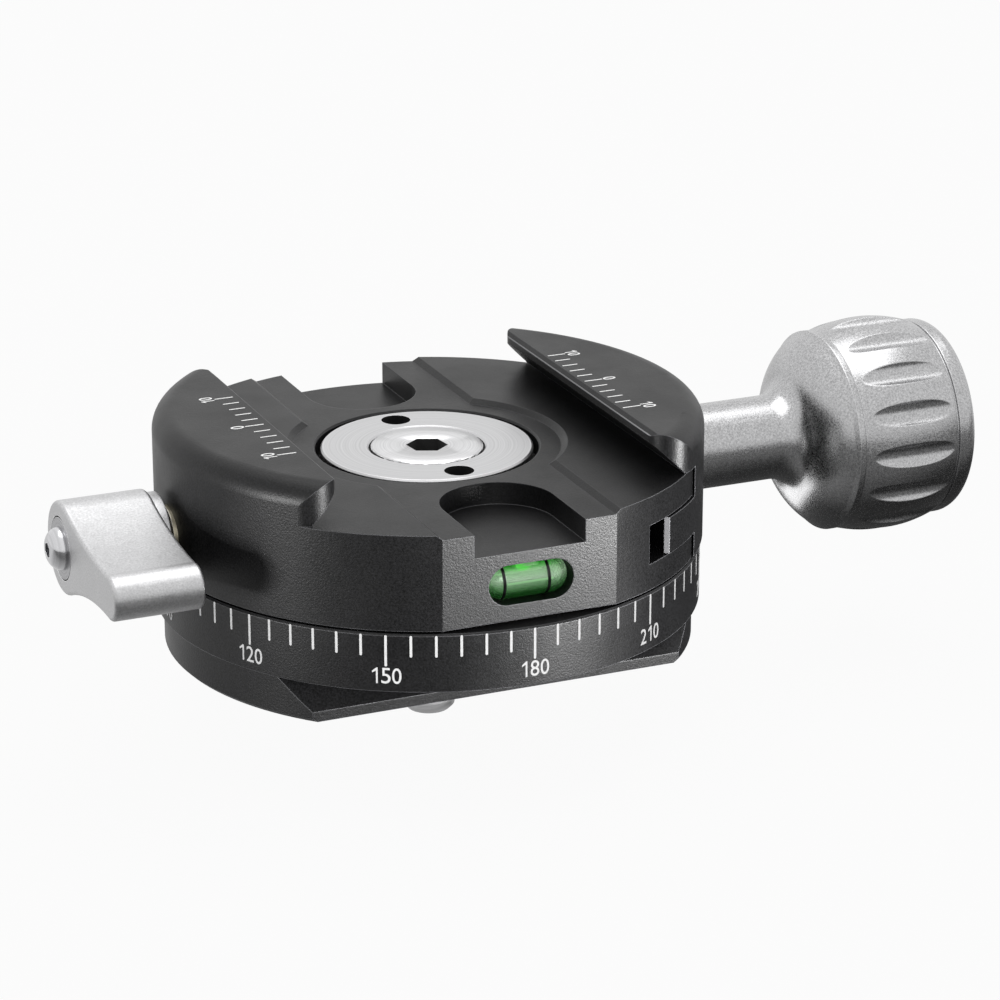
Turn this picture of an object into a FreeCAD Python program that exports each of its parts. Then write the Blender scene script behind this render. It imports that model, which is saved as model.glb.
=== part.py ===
import FreeCAD, Part
import math
import os
import Sketcher

# Panoramic tripod head with a dovetail clamp: a round base with a degree scale, and above it a body that
# turns on the base and grips a camera plate between a fixed jaw and a jaw moved by a scalloped knob. A
# ratchet lever on the other side locks the turning.
# Millimetres. +Z is the turning axis, pointing up, and the origin is where it meets the underside of the
# base. +X points along the knob, away from the head. The clamp's channel runs along Y, and -Y is the flat
# with the level.

SIZES = {
    "ring_radius": (30.0, "round ring that carries the degree scale"),
    "ring_height": (6.4, "ring, from the plate to its top"),
    "plate_inset": (0.8, "how far the plate's round edge stands inside the ring"),
    "plate_thickness": (4.8, "base plate"),
    "plate_chamfer": (0.4, "bottom edge of the base plate"),
    "edge_break": (0.2, "small chamfer on turned edges"),
    "lip_half_width": (20.1, "half the width of the base's dovetail, at its lips"),
    "lip_thickness": (1.15, "upright lip of the base's dovetail"),
    "hub_radius": (12.5, "hub that the body turns on and the brake presses"),
    "hub_height": (6.4, "hub, above the ring"),
    "hub_thread_radius": (7.0, "thread in the hub, M14 x 1"),
    "spigot_depth": (5.4, "threaded hole in the hub"),
    "thread_play": (0.05, "radial play of every threaded fit"),
    "screw_radius": (3.0, "M6 thread"),
    "shank_relief": (0.35, "how much thinner the mounting screw is above its thread"),
    "screw_clearance": (0.2, "radial play of the M6 screws in their clearance holes"),
    "stud_reach": (9.4, "mounting screw, below the plate"),
    "screw_tip_chamfer": (0.6, "end of a threaded rod"),
    "head_radius": (6.15, "countersunk head of the mounting screw"),
    "sink_radius": (6.6, "countersink in the disc, at the top"),
    "head_hex": (4.0, "hexagon socket of the mounting screw, across flats"),
    "head_hex_depth": (2.4, "hexagon socket of the mounting screw"),
    "head_hex_turn": (37.0, "direction of one corner of the socket, degrees"),
    "disc_radius": (11.64, "retaining disc"),
    "disc_thickness": (1.9, "retaining disc"),
    "spigot_length": (6.8, "threaded spigot under the disc"),
    "spanner_hole_radius": (1.62, "holes in the disc for a pin spanner"),
    "spanner_hole_place": (9.2, "distance of a spanner hole from the axis"),
    "washer_thickness": (0.3, "thin bearing washers"),
    "bearing_gap": (1.5, "from the hub to the large bearing washer"),
    "bearing_inset": (3.0, "from the ring's edge to the large bearing washer"),
    "thrust_gap": (0.3, "gap between ring and body, filled by the large bearing washer"),
    "body_inset": (0.1, "how far the body's round wall stands inside the ring"),
    "body_height": (10.5, "body, up to the deck that the camera plate lies over"),
    "front_flat": (28.25, "distance of the flat with the level from the axis"),
    "bore_play": (0.3, "radial gap between hub and body"),
    "flange_thickness": (1.4, "inner flange of the body, held between hub and disc"),
    "flange_bore": (7.5, "hole in the inner flange"),
    "recess_gap": (0.6, "radial gap round the retaining disc"),
    "strip_half_width": (9.65, "lowered strip along the middle of the deck"),
    "strip_drop": (0.5, "depth of the lowered strip"),
    "strip_slope": (0.7, "width of the sloping edge of the lowered strip"),
    "dish_radius": (14.7, "lowered round field about the disc"),
    "pocket_half_width": (6.25, "pockets for a plate's safety stops"),
    "pocket_depth": (3.0, "pockets, below the deck"),
    "pocket_wall": (1.5, "wall between the disc's recess and the round end of a pocket"),
    "jaw_rise": (4.56, "jaws, above the deck"),
    "channel_foot": (21.0, "half the width of the channel at the deck"),
    "jaw_foot_height": (0.2, "upright foot of a jaw's undercut face"),
    "jaw_undercut": (3.2, "height and depth of a jaw's 45 degree face"),
    "jaw_nose": (0.7, "upright nose of a jaw"),
    "jaw_nose_slope": (0.5, "slope between a jaw's nose and its top"),
    "jaw_tip_corner": (2.6, "upright rounding at the ends of a jaw"),
    "jaw_top_round": (2.4, "rounding along the outer top edge of a jaw"),
    "jaw_offset": (0.4, "how far the closed jaw stands out from the body's round wall"),
    "jaw_wall": (23.1, "inner wall of the moving jaw"),
    "jaw_wall_gap": (0.15, "gap between body and closed jaw"),
    "jaw_floor_gap": (0.3, "gap under the moving jaw"),
    "jaw_deck_gap": (0.12, "gap between the deck and the jaw's overhang"),
    "tongue_reach": (5.7, "guide tongues of the jaw, in from its inner wall"),
    "tongue_thickness": (4.1, "guide tongues"),
    "tongue_bottom": (3.05, "guide tongues, above the body's underside"),
    "tongue_chamfer": (0.45, "outer corner of a guide tongue"),
    "web_half_width": (6.8, "middle web of the body, between the tongues"),
    "slide_play": (0.13, "play of the tongues in their slots"),
    "slot_start": (14.65, "inner end of the tongue slots"),
    "knob_height": (16.75, "height of the knob's axis"),
    "neck_radius": (4.8, "neck of the knob"),
    "neck_seat_depth": (0.8, "neck of the knob, sunk in the jaw"),
    "neck_play": (0.3, "radial gap round the neck in the jaw"),
    "neck_length": (11.0, "neck of the knob, out from the jaw"),
    "neck_flare": (3.0, "hollow rounding from the neck to the dome"),
    "flare_angle": (70.0, "steepest slope of the flare, degrees"),
    "rim_place": (17.0, "edge of the dome, out from the jaw"),
    "dome_radius": (11.0, "edge of the dome"),
    "dome_bulge": (0.4, "how far the dome swells past a straight cone"),
    "rim_radius": (11.45, "raised rim of the knob"),
    "rim_width": (1.3, "raised rim of the knob"),
    "rim_step": (0.25, "step from the rim down to the barrel"),
    "barrel_radius": (12.3, "barrel of the knob, at its widest"),
    "barrel_length": (11.6, "barrel of the knob"),
    "barrel_fall": (0.95, "fall of the barrel towards the end"),
    "end_groove": (0.35, "depth of the fine groove round the knob's end"),
    "end_groove_width": (0.4, "fine groove round the knob's end"),
    "end_band": (2.4, "plain band after the groove"),
    "end_round": (1.5, "rounding of the knob's end"),
    "scallop_count": (16, "scallops round the knob"),
    "scallop_radius": (1.6, "cutter of the scallops"),
    "scallop_depth": (0.8, "scallops, below the widest of the barrel"),
    "clamp_screw_gap": (0.8, "from the hub to the inner end of the clamp screw"),
    "clamp_screw_grip": (12.2, "length of the clamp screw inside the knob"),
    "knob_washer_thickness": (0.6, "washer under the neck"),
    "knob_washer_play": (0.1, "radial play of the washer under the neck, inside and outside"),
    "guide_place": (13.0, "distance of the guide pins from the middle"),
    "pin_radius": (1.0, "guide pins"),
    "pin_seat": (3.1, "guide pins, sunk in the tongue"),
    "pin_gap": (0.7, "from the end of a spring bore to its guide pin"),
    "spring_bore_radius": (2.05, "bores for the jaw springs"),
    "spring_bore_wall": (0.76, "least wall between a spring bore and the bore for the hub"),
    "spring_radius": (1.5, "coil of a jaw spring, to the middle of the wire"),
    "spring_wire": (0.26, "half the diagonal of a jaw spring's square wire"),
    "spring_turns": (4, "turns of a jaw spring"),
    "vial_height": (15.45, "height of the level"),
    "vial_place": (0.14, "level, sideways"),
    "window_length": (9.6, "window for the level"),
    "window_height": (4.4, "window for the level"),
    "window_depth": (4.1, "window for the level"),
    "vial_play": (0.14, "gap round the level"),
    "vial_wall": (0.55, "wall of the level's vial"),
    "vial_proud": (0.15, "level, out from the flat"),
    "bubble_radius": (0.85, "bubble in the level"),
    "bubble_length": (2.55, "bubble in the level"),
    "lock_radius": (2.5, "M5 thread of the lock stud"),
    "bush_floor": (1.0, "body left under the brass bush"),
    "shoe_radius": (2.3, "brake shoe"),
    "shoe_play": (0.06, "play of the brake shoe"),
    "shoe_length": (5.2, "brake shoe"),
    "shoe_gap": (0.08, "gap between brake shoe and hub"),
    "bush_wall": (0.55, "wall of the brass bush for the lock stud"),
    "bush_length": (9.0, "brass bush for the lock stud"),
    "bush_proud": (0.5, "brass bush, out from the body"),
    "stud_gap": (0.5, "gap between bush and lever"),
    "spindle_radius": (2.3, "thin end of the lock stud, inside the lever"),
    "lever_width": (10.9, "lever, along its axis"),
    "lever_boss": (1.1, "boss of the lever, towards the body"),
    "lever_hub_radius": (5.1, "hub of the lever"),
    "lever_reach": (15.9, "arm of the lever, to the start of its tip"),
    "arm_top_turn": (72.3, "where the arm's upper side leaves the hub, degrees above level"),
    "arm_bottom_turn": (69.3, "where the arm's lower side leaves the hub, degrees below level"),
    "arm_waist_top": (3.3, "upper side of the arm at half its reach, from the lever's axis"),
    "arm_waist_bottom": (2.85, "lower side of the arm at half its reach, from the lever's axis"),
    "tip_top": (2.6, "upper side of the arm at its tip, from the lever's axis"),
    "tip_bottom": (2.2, "lower side of the arm at its tip, from the lever's axis"),
    "tip_lean": (0.7, "how much further the tip's lower corner reaches than its upper one"),
    "tip_length": (3.0, "round end of the arm, past its reach"),
    "lever_edge": (0.45, "rounding of the lever's edges"),
    "lever_ridge": (0.6, "rounding of the two ridges along the lever's tip"),
    "lever_travel": (2.5, "how far the lever pulls out to be set anew"),
    "insert_length": (4.9, "splined insert on the stud"),
    "spline_length": (2.3, "splines of insert and lever"),
    "spline_root": (3.2, "root radius of the insert's splines"),
    "spline_tip": (3.7, "tip radius of the insert's splines"),
    "spline_count": (12, "splines"),
    "spline_width": (0.8, "width of a spline"),
    "spline_taper": (0.7, "width of a spline at its tip, as a share of that at its root"),
    "spline_play": (0.1, "play of the splines"),
    "shoulder_gap": (0.3, "gap between insert and the lever's shoulder"),
    "shoulder_width": (1.0, "shoulder inside the lever that the spring presses"),
    "lever_bore": (3.5, "bore in the lever's outer end"),
    "end_washer_radius": (3.35, "washer in the lever's outer end"),
    "end_washer_thickness": (1.0, "washer in the lever's outer end"),
    "end_screw_radius": (1.25, "M2.5 screw in the end of the stud"),
    "end_screw_length": (6.5, "M2.5 screw, under its head"),
    "end_head_radius": (2.35, "button head of the M2.5 screw"),
    "end_head_height": (1.5, "button head of the M2.5 screw"),
    "end_head_bulge": (0.24, "how far the button head swells past a straight cone"),
    "end_head_hex": (1.5, "hexagon socket of the M2.5 screw, across flats"),
    "end_hex_depth": (0.9, "hexagon socket of the M2.5 screw"),
    "lever_spring_radius": (2.92, "coil of the lever spring, to the middle of the wire"),
    "lever_spring_wire": (0.24, "half the diagonal of the lever spring's square wire"),
    "lever_spring_turns": (2, "turns of the lever spring"),
}

doc = FreeCAD.newDocument("panoramic_head")
sheet = doc.addObject("Spreadsheet::Sheet", "sizes")
for row, (alias, (amount, meaning)) in enumerate(SIZES.items(), 1):
    sheet.set(f"A{row}", alias)
    sheet.set(f"B{row}", str(amount))
    sheet.set(f"C{row}", meaning)
    sheet.setAlias(f"B{row}", alias)
doc.recompute()


class Size:
    """A size with its value now and the formula that ties it to the sheet."""

    def __init__(self, value, formula):
        self.value = float(value)
        self.formula = formula

    def __add__(self, other):
        return Size(self.value + value_of(other), f"({self.formula} + {formula_of(other)})")

    def __radd__(self, other):
        return self + other

    def __sub__(self, other):
        return Size(self.value - value_of(other), f"({self.formula} - {formula_of(other)})")

    def __rsub__(self, other):
        return Size(value_of(other) - self.value, f"({formula_of(other)} - {self.formula})")

    def __mul__(self, other):
        return Size(self.value * value_of(other), f"({self.formula} * {formula_of(other)})")

    def __rmul__(self, other):
        return self * other

    def __truediv__(self, other):
        return Size(self.value / value_of(other), f"({self.formula} / {formula_of(other)})")

    def __neg__(self):
        return 0 - self


def value_of(size):
    return size.value if isinstance(size, Size) else float(size)


def formula_of(size):
    return size.formula if isinstance(size, Size) else f"({float(size):.9f})"


def root(size):
    return Size(math.sqrt(size.value), f"sqrt({size.formula})")


def sine(angle):
    return Size(math.sin(math.radians(angle.value)), f"sin({angle.formula})")


def cosine(angle):
    return Size(math.cos(math.radians(angle.value)), f"cos({angle.formula})")


def leg(long_side, short_side):
    """Other leg of a right triangle."""
    return root(long_side * long_side - short_side * short_side)


class Dimensions:
    """The sheet's sizes by name."""


dim = Dimensions()
for alias, (amount, meaning) in SIZES.items():
    setattr(dim, alias, Size(amount, f"sizes.{alias}"))

# Heights of the stack, from the plate up
plate_radius = dim.ring_radius - dim.plate_inset
ring_top = dim.plate_thickness + dim.ring_height
hub_top = ring_top + dim.hub_height
body_bottom = ring_top + dim.thrust_gap
deck = body_bottom + dim.body_height
strip_top = deck - dim.strip_drop
flange_bottom = hub_top + dim.washer_thickness
flange_top = flange_bottom + dim.flange_thickness
disc_bottom = flange_top + dim.washer_thickness
disc_top = disc_bottom + dim.disc_thickness
body_radius = dim.ring_radius - dim.body_inset
body_bore = dim.hub_radius + dim.bore_play
jaw_top = deck + dim.jaw_rise

# The jaws' undercut faces, the same on both sides of the channel
foot_top = deck + dim.jaw_foot_height
nose_bottom = foot_top + dim.jaw_undercut
nose_top = nose_bottom + dim.jaw_nose
channel_nose = dim.channel_foot - dim.jaw_undercut
channel_top = channel_nose + dim.jaw_nose_slope

# Threads and their holes
screw_hole = dim.screw_radius + dim.screw_clearance
bush_radius = dim.lock_radius + dim.thread_play + dim.bush_wall
lock_height = body_bottom + dim.bush_floor + bush_radius

# Tongues and slots
tongue_low = body_bottom + dim.tongue_bottom
tongue_high = tongue_low + dim.tongue_thickness
tongue_end = dim.jaw_wall - dim.tongue_reach
tongue_side = dim.web_half_width + dim.slide_play
guide_height = tongue_low + dim.tongue_thickness / 2
spring_bore_end = leg(body_bore + dim.spring_bore_wall, dim.guide_place - dim.spring_bore_radius)
pin_reach = tongue_end - spring_bore_end - dim.pin_gap

# Along the knob's axis
jaw_face = body_radius + dim.jaw_offset
neck_seat = jaw_face - dim.neck_seat_depth
clamp_screw_start = dim.hub_radius + dim.clamp_screw_gap

# Along the lock's axis, on the far side from the knob
shoe_front = -(dim.hub_radius + dim.shoe_gap)
shoe_back = shoe_front - dim.shoe_length
bush_outer_end = -(body_radius + dim.bush_proud)
bush_inner_end = bush_outer_end + dim.bush_length
lever_inner_end = bush_outer_end - dim.stud_gap
lever_outer_end = lever_inner_end - dim.lever_width
lever_tail_side = lever_inner_end - dim.lever_boss
spline_end = lever_inner_end - dim.spline_length
insert_end = lever_inner_end - dim.insert_length
shoulder_inner = insert_end - dim.shoulder_gap
shoulder_outer = shoulder_inner - dim.shoulder_width
spindle_end = lever_outer_end + dim.end_washer_thickness

OVERRUN = 1.0  # how far a cut runs past what it cuts
FLAT = 0.01  # an edge shorter than this along an axis lies square to it
SLANT = math.sqrt(0.5)  # share of a radius that a point at 45 degrees has on each axis

parts = []


def swell(start, end, bulge):
    """Point by which an arc from start to end passes, bulge away from the middle of the straight line."""
    run = end[0] - start[0]
    rise = end[1] - start[1]
    chord = root(run * run + rise * rise)
    return (start[0] + end[0]) / 2 - bulge * rise / chord, (start[1] + end[1]) / 2 + bulge * run / chord


def new_body(label, x=0, z=0):
    """An empty body, its own origin moved along X and up."""
    body = doc.addObject("PartDesign::Body", label)
    body.Label = label
    place(body, x, 0, z)
    parts.append(body)
    return body


def place(thing, x, y, z, rotation=None):
    turn = rotation or FreeCAD.Rotation()
    thing.Placement = FreeCAD.Placement(FreeCAD.Vector(value_of(x), value_of(y), value_of(z)), turn)
    for axis, amount in (("x", x), ("y", y), ("z", z)):
        if isinstance(amount, Size):
            thing.setExpression(f"Placement.Base.{axis}", amount.formula)


def origin_feature(body, role):
    return [item for item in body.Origin.OriginFeatures if item.Role == role][0]


def sketch_on(body, role, label, lift=None):
    """A sketch on one of the body's own planes, or lifted off it along its normal."""
    sketch = body.newObject("Sketcher::SketchObject", label)
    sketch.AttachmentSupport = [(origin_feature(body, role), "")]
    sketch.MapMode = "FlatFace"
    if lift is not None:
        offset = FreeCAD.Vector(0, 0, value_of(lift))
        sketch.AttachmentOffset = FreeCAD.Placement(offset, FreeCAD.Rotation())
        if isinstance(lift, Size):
            sketch.setExpression("AttachmentOffset.Base.z", lift.formula)
    return sketch


def pin_point(sketch, item, position, x, y):
    """Hold a point at (x, y), each tied to its formula, or on the sketch's axis where it is nought."""
    for kind, axis, amount in (("DistanceX", -2, x), ("DistanceY", -1, y)):
        if not isinstance(amount, Size) and amount == 0:
            sketch.addConstraint(Sketcher.Constraint("PointOnObject", item, position, axis))
            continue
        held = Sketcher.Constraint(kind, -1, 1, item, position, value_of(amount))
        index = sketch.addConstraint(held)
        if isinstance(amount, Size):
            sketch.setExpression(f"Constraints[{index}]", amount.formula)


def draw(sketch, steps):
    """A closed outline. A step is a corner (x, y), or (x, y, via_x, via_y) with a point on its arc."""
    points = [FreeCAD.Vector(value_of(step[0]), value_of(step[1]), 0) for step in steps]
    items = []
    for index, step in enumerate(steps):
        start = points[index]
        end = points[(index + 1) % len(steps)]
        if len(step) == 4:
            via = FreeCAD.Vector(value_of(step[2]), value_of(step[3]), 0)
            item = sketch.addGeometry(Part.Arc(start, via, end), False)
            mark = sketch.addGeometry(Part.Point(via), True)
        else:
            item = sketch.addGeometry(Part.LineSegment(start, end), False)
            mark = None
        forward = (sketch.getPoint(item, 1) - start).Length < (sketch.getPoint(item, 2) - start).Length
        items.append((item, (1, 2) if forward else (2, 1), mark))
    for index, step in enumerate(steps):
        item, ends, mark = items[index]
        before, before_ends, _ = items[index - 1]
        sketch.addConstraint(Sketcher.Constraint("Coincident", before, before_ends[1], item, ends[0]))
        pin_point(sketch, item, ends[0], step[0], step[1])
        if mark is not None:
            sketch.addConstraint(Sketcher.Constraint("PointOnObject", mark, 1, item))
            pin_point(sketch, mark, 1, step[2], step[3])


def draw_circle(sketch, x, y, radius):
    centre = FreeCAD.Vector(value_of(x), value_of(y), 0)
    item = sketch.addGeometry(Part.Circle(centre, FreeCAD.Vector(0, 0, 1), value_of(radius)), False)
    pin_point(sketch, item, 3, x, y)
    index = sketch.addConstraint(Sketcher.Constraint("Radius", item, value_of(radius)))
    if isinstance(radius, Size):
        sketch.setExpression(f"Constraints[{index}]", radius.formula)


def draw_hexagon(sketch, across_flats, turn):
    corner = across_flats / math.sqrt(3)
    steps = []
    for index in range(6):
        angle = turn + 60 * index
        steps.append((corner * cosine(angle), corner * sine(angle)))
    draw(sketch, steps)


def finish_feature(body, feature, removes):
    """Take the feature into the body, and make sure that it adds or removes something.

    A rounding may do either."""
    before = feature.BaseFeature.Shape.Volume if feature.BaseFeature else 0.0
    body.Tip = feature
    doc.recompute()
    change = feature.Shape.Volume - before
    if "Invalid" in feature.State or "Error" in feature.State:
        raise RuntimeError(f"{feature.Label} failed")
    if abs(change) < 1e-6 or (removes is not None and removes == (change > 0)):
        raise RuntimeError(f"{feature.Label} changes nothing, or goes the wrong way")
    return feature


def set_length(feature, length):
    if length is None:
        feature.Type = "ThroughAll"
        return
    feature.Length = value_of(length)
    if isinstance(length, Size):
        feature.setExpression("Length", length.formula)


def pad(body, sketch, length, symmetric=False, backward=False):
    """Thicken the sketch along its normal, or against it."""
    feature = body.newObject("PartDesign::Pad", f"{sketch.Label}_pad")
    feature.Profile = sketch
    set_length(feature, length)
    feature.SideType = "Symmetric" if symmetric else "One side"
    feature.Reversed = backward
    return finish_feature(body, feature, False)


def pocket(body, sketch, length=None, symmetric=False, along=False):
    """Cut the sketch's outline out against its normal, or along it, for a length or right through."""
    feature = body.newObject("PartDesign::Pocket", f"{sketch.Label}_pocket")
    feature.Profile = sketch
    set_length(feature, length)
    feature.SideType = "Symmetric" if symmetric else "One side"
    feature.Reversed = along
    return finish_feature(body, feature, True)


def revolve(body, sketch, axis, removes=False):
    """Turn the sketch a full turn about its own upright (V_Axis) or level (H_Axis) axis."""
    kind = "PartDesign::Groove" if removes else "PartDesign::Revolution"
    feature = body.newObject(kind, f"{sketch.Label}_turned")
    feature.Profile = sketch
    feature.ReferenceAxis = (sketch, [axis])
    feature.Angle = 360.0
    return finish_feature(body, feature, removes)


def repeat_round(body, feature, count, removes):
    """Repeat a feature evenly round the body's X axis."""
    pattern = body.newObject("PartDesign::PolarPattern", f"{feature.Label}_round")
    pattern.Originals = [feature]
    pattern.Axis = (origin_feature(body, "X_Axis"), [""])
    pattern.Angle = 360.0
    pattern.setExpression("Occurrences", count.formula)
    pattern.Occurrences = int(count.value)
    body.Tip = pattern
    doc.recompute()
    change = pattern.Shape.Volume - feature.Shape.Volume
    if (removes and change > -1e-6) or (not removes and change < 1e-6):
        raise RuntimeError(f"{pattern.Label} repeats nothing")
    return pattern


def round_edges(body, base, radius, chosen, label):
    """Round the edges of the feature that the test chooses."""
    names = [f"Edge{index}" for index, edge in enumerate(base.Shape.Edges, 1) if chosen(edge)]
    fillet = body.newObject("PartDesign::Fillet", label)
    fillet.Base = (base, names)
    fillet.Radius = radius.value
    fillet.setExpression("Radius", radius.formula)
    return finish_feature(body, fillet, None)


def bore_along_x(body, label, y, z, radius, start, end):
    """A round hole from x = start to x = end."""
    sketch = sketch_on(body, "YZ_Plane", label, start)
    draw_circle(sketch, y, z, radius)
    return pocket(body, sketch, end - start, along=True)


def group_part(label, members):
    """Like pieces that share one node, each still a solid of its own."""
    group = doc.addObject("Part::Compound", label)
    group.Label = label
    group.Links = members
    parts.append(group)


def ring_part(label, inner, outer, low, high):
    """A flat washer about the turning axis."""
    body = new_body(label)
    sketch = sketch_on(body, "XY_Plane", f"{label}_outline", low)
    draw_circle(sketch, 0, 0, outer)
    draw_circle(sketch, 0, 0, inner)
    pad(body, sketch, high - low)


def jaw_plan(side, nose, wall):
    """Half-moon outline of a jaw: its straight inner side, two rounded tips and the round outer wall.

    side is 1 for the jaw towards +X and -1 for the other. nose is the distance of the inner side from the
    axis of the round wall, and wall is that wall's radius."""
    corner = dim.jaw_tip_corner
    centre_x = nose + corner
    centre_y = leg(wall - corner, centre_x)
    reach = wall / (wall - corner)
    return [
        (side * nose, -centre_y, side * centre_x, -(centre_y + corner)),
        (side * centre_x * reach, -(centre_y * reach), side * wall, 0),
        (side * centre_x * reach, centre_y * reach, side * centre_x, centre_y + corner),
        (side * nose, centre_y),
    ]


def round_jaw_top(body, label):
    """Round the outer top edge of a jaw, all along its round wall."""
    profile = sketch_on(body, "XZ_Plane", label)
    inner = body_radius - dim.jaw_top_round
    lower = jaw_top - dim.jaw_top_round
    draw(profile, [
        (inner, jaw_top, inner + dim.jaw_top_round * SLANT, lower + dim.jaw_top_round * SLANT),
        (body_radius, lower),
        (body_radius + OVERRUN, lower),
        (body_radius + OVERRUN, jaw_top + OVERRUN),
        (inner, jaw_top + OVERRUN),
    ])
    revolve(body, profile, "V_Axis", removes=True)


def make_scale_base():
    """Plate, ring and hub in one, turned, with a dovetail milled along the underside."""
    body = new_body("scale_base")
    profile = sketch_on(body, "XZ_Plane", "base_profile")
    draw(profile, [
        (screw_hole, 0),
        (plate_radius - dim.plate_chamfer, 0),
        (plate_radius, dim.plate_chamfer),
        (plate_radius, dim.plate_thickness),
        (dim.ring_radius, dim.plate_thickness),
        (dim.ring_radius, ring_top - dim.edge_break),
        (dim.ring_radius - dim.edge_break, ring_top),
        (dim.hub_radius, ring_top),
        (dim.hub_radius, hub_top - dim.edge_break),
        (dim.hub_radius - dim.edge_break, hub_top),
        (dim.hub_thread_radius, hub_top),
        (dim.hub_thread_radius, hub_top - dim.spigot_depth),
        (screw_hole, hub_top - dim.spigot_depth),
    ])
    revolve(body, profile, "V_Axis")
    undercut = sketch_on(body, "YZ_Plane", "dovetail_undercut")
    slope = dim.plate_thickness - dim.lip_thickness
    beyond = dim.ring_radius + OVERRUN
    for side in (1, -1):
        draw(undercut, [
            (side * dim.lip_half_width, -OVERRUN),
            (side * dim.lip_half_width, dim.lip_thickness),
            (side * (dim.lip_half_width - slope), dim.plate_thickness),
            (side * beyond, dim.plate_thickness),
            (side * beyond, -OVERRUN),
        ])
    pocket(body, undercut, beyond * 2, symmetric=True)


def make_retaining_disc():
    """Flanged nut that holds the body down, with a countersink and two holes for a pin spanner."""
    body = new_body("retaining_disc")
    profile = sketch_on(body, "XZ_Plane", "disc_profile")
    spigot_end = disc_bottom - dim.spigot_length
    spigot = dim.hub_thread_radius - dim.thread_play
    draw(profile, [
        (screw_hole, spigot_end),
        (spigot - dim.edge_break, spigot_end),
        (spigot, spigot_end + dim.edge_break),
        (spigot, disc_bottom),
        (dim.disc_radius, disc_bottom),
        (dim.disc_radius, disc_top - dim.edge_break),
        (dim.disc_radius - dim.edge_break, disc_top),
        (dim.sink_radius, disc_top),
        (screw_hole, disc_top - dim.sink_radius + screw_hole),
    ])
    revolve(body, profile, "V_Axis")
    holes = sketch_on(body, "XY_Plane", "spanner_holes", disc_top)
    for side in (1, -1):
        draw_circle(holes, 0, side * dim.spanner_hole_place, dim.spanner_hole_radius)
    pocket(body, holes, dim.disc_thickness + dim.edge_break)


def make_mounting_screw():
    """Countersunk M6 screw that passes through the head and fixes it to a tripod."""
    body = new_body("mounting_screw")
    profile = sketch_on(body, "XZ_Plane", "screw_profile")
    cone_start = disc_top - dim.sink_radius
    shank = dim.screw_radius - dim.shank_relief
    draw(profile, [
        (0, -dim.stud_reach),
        (dim.screw_radius - dim.screw_tip_chamfer, -dim.stud_reach),
        (dim.screw_radius, dim.screw_tip_chamfer - dim.stud_reach),
        (dim.screw_radius, 0),
        (shank, 0),
        (shank, cone_start + shank),
        (dim.head_radius, cone_start + dim.head_radius),
        (dim.head_radius, disc_top - dim.edge_break / 2),
        (dim.head_radius - dim.edge_break / 2, disc_top),
        (0, disc_top),
    ])
    revolve(body, profile, "V_Axis")
    socket = sketch_on(body, "XY_Plane", "screw_socket", disc_top)
    draw_hexagon(socket, dim.head_hex, dim.head_hex_turn)
    pocket(body, socket, dim.head_hex_depth)


def make_bearing_washers():
    ring_part("thrust_washer", dim.hub_radius + dim.bearing_gap, dim.ring_radius - dim.bearing_inset,
              ring_top, body_bottom)
    inner = dim.hub_thread_radius + dim.edge_break
    ring_part("hub_washer", inner, dim.hub_radius - dim.edge_break, hub_top, flange_bottom)
    ring_part("flange_washer", inner, dim.disc_radius, flange_top, disc_bottom)


def cut_deck(body):
    """Lower the strip along the middle of the deck and the round field about the disc."""
    beyond = dim.ring_radius + OVERRUN
    above = strip_top + dim.strip_drop * 2
    strip = sketch_on(body, "XZ_Plane", "deck_strip")
    spread = dim.strip_half_width + dim.strip_slope * 2
    draw(strip, [
        (dim.strip_half_width, strip_top),
        (spread, above),
        (-spread, above),
        (-dim.strip_half_width, strip_top),
    ])
    pocket(body, strip, beyond * 2, symmetric=True)
    dish = sketch_on(body, "XZ_Plane", "deck_dish")
    draw(dish, [
        (0, strip_top),
        (dim.dish_radius, strip_top),
        (dim.dish_radius + dim.strip_slope * 2, above),
        (0, above),
    ])
    revolve(body, dish, "V_Axis", removes=True)


def cut_pockets(body):
    """Round-ended pockets at the front and the back of the deck, for the safety stops of camera plates."""
    inner_end = dim.disc_radius + dim.recess_gap + dim.pocket_wall
    centre = inner_end + dim.pocket_half_width
    beyond = dim.ring_radius + OVERRUN
    outline = sketch_on(body, "XY_Plane", "stop_pockets", deck + OVERRUN)
    for side in (1, -1):
        draw(outline, [
            (dim.pocket_half_width, side * beyond),
            (dim.pocket_half_width, side * centre, 0, side * inner_end),
            (-dim.pocket_half_width, side * centre),
            (-dim.pocket_half_width, side * beyond),
        ])
    pocket(body, outline, dim.pocket_depth + OVERRUN)


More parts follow.
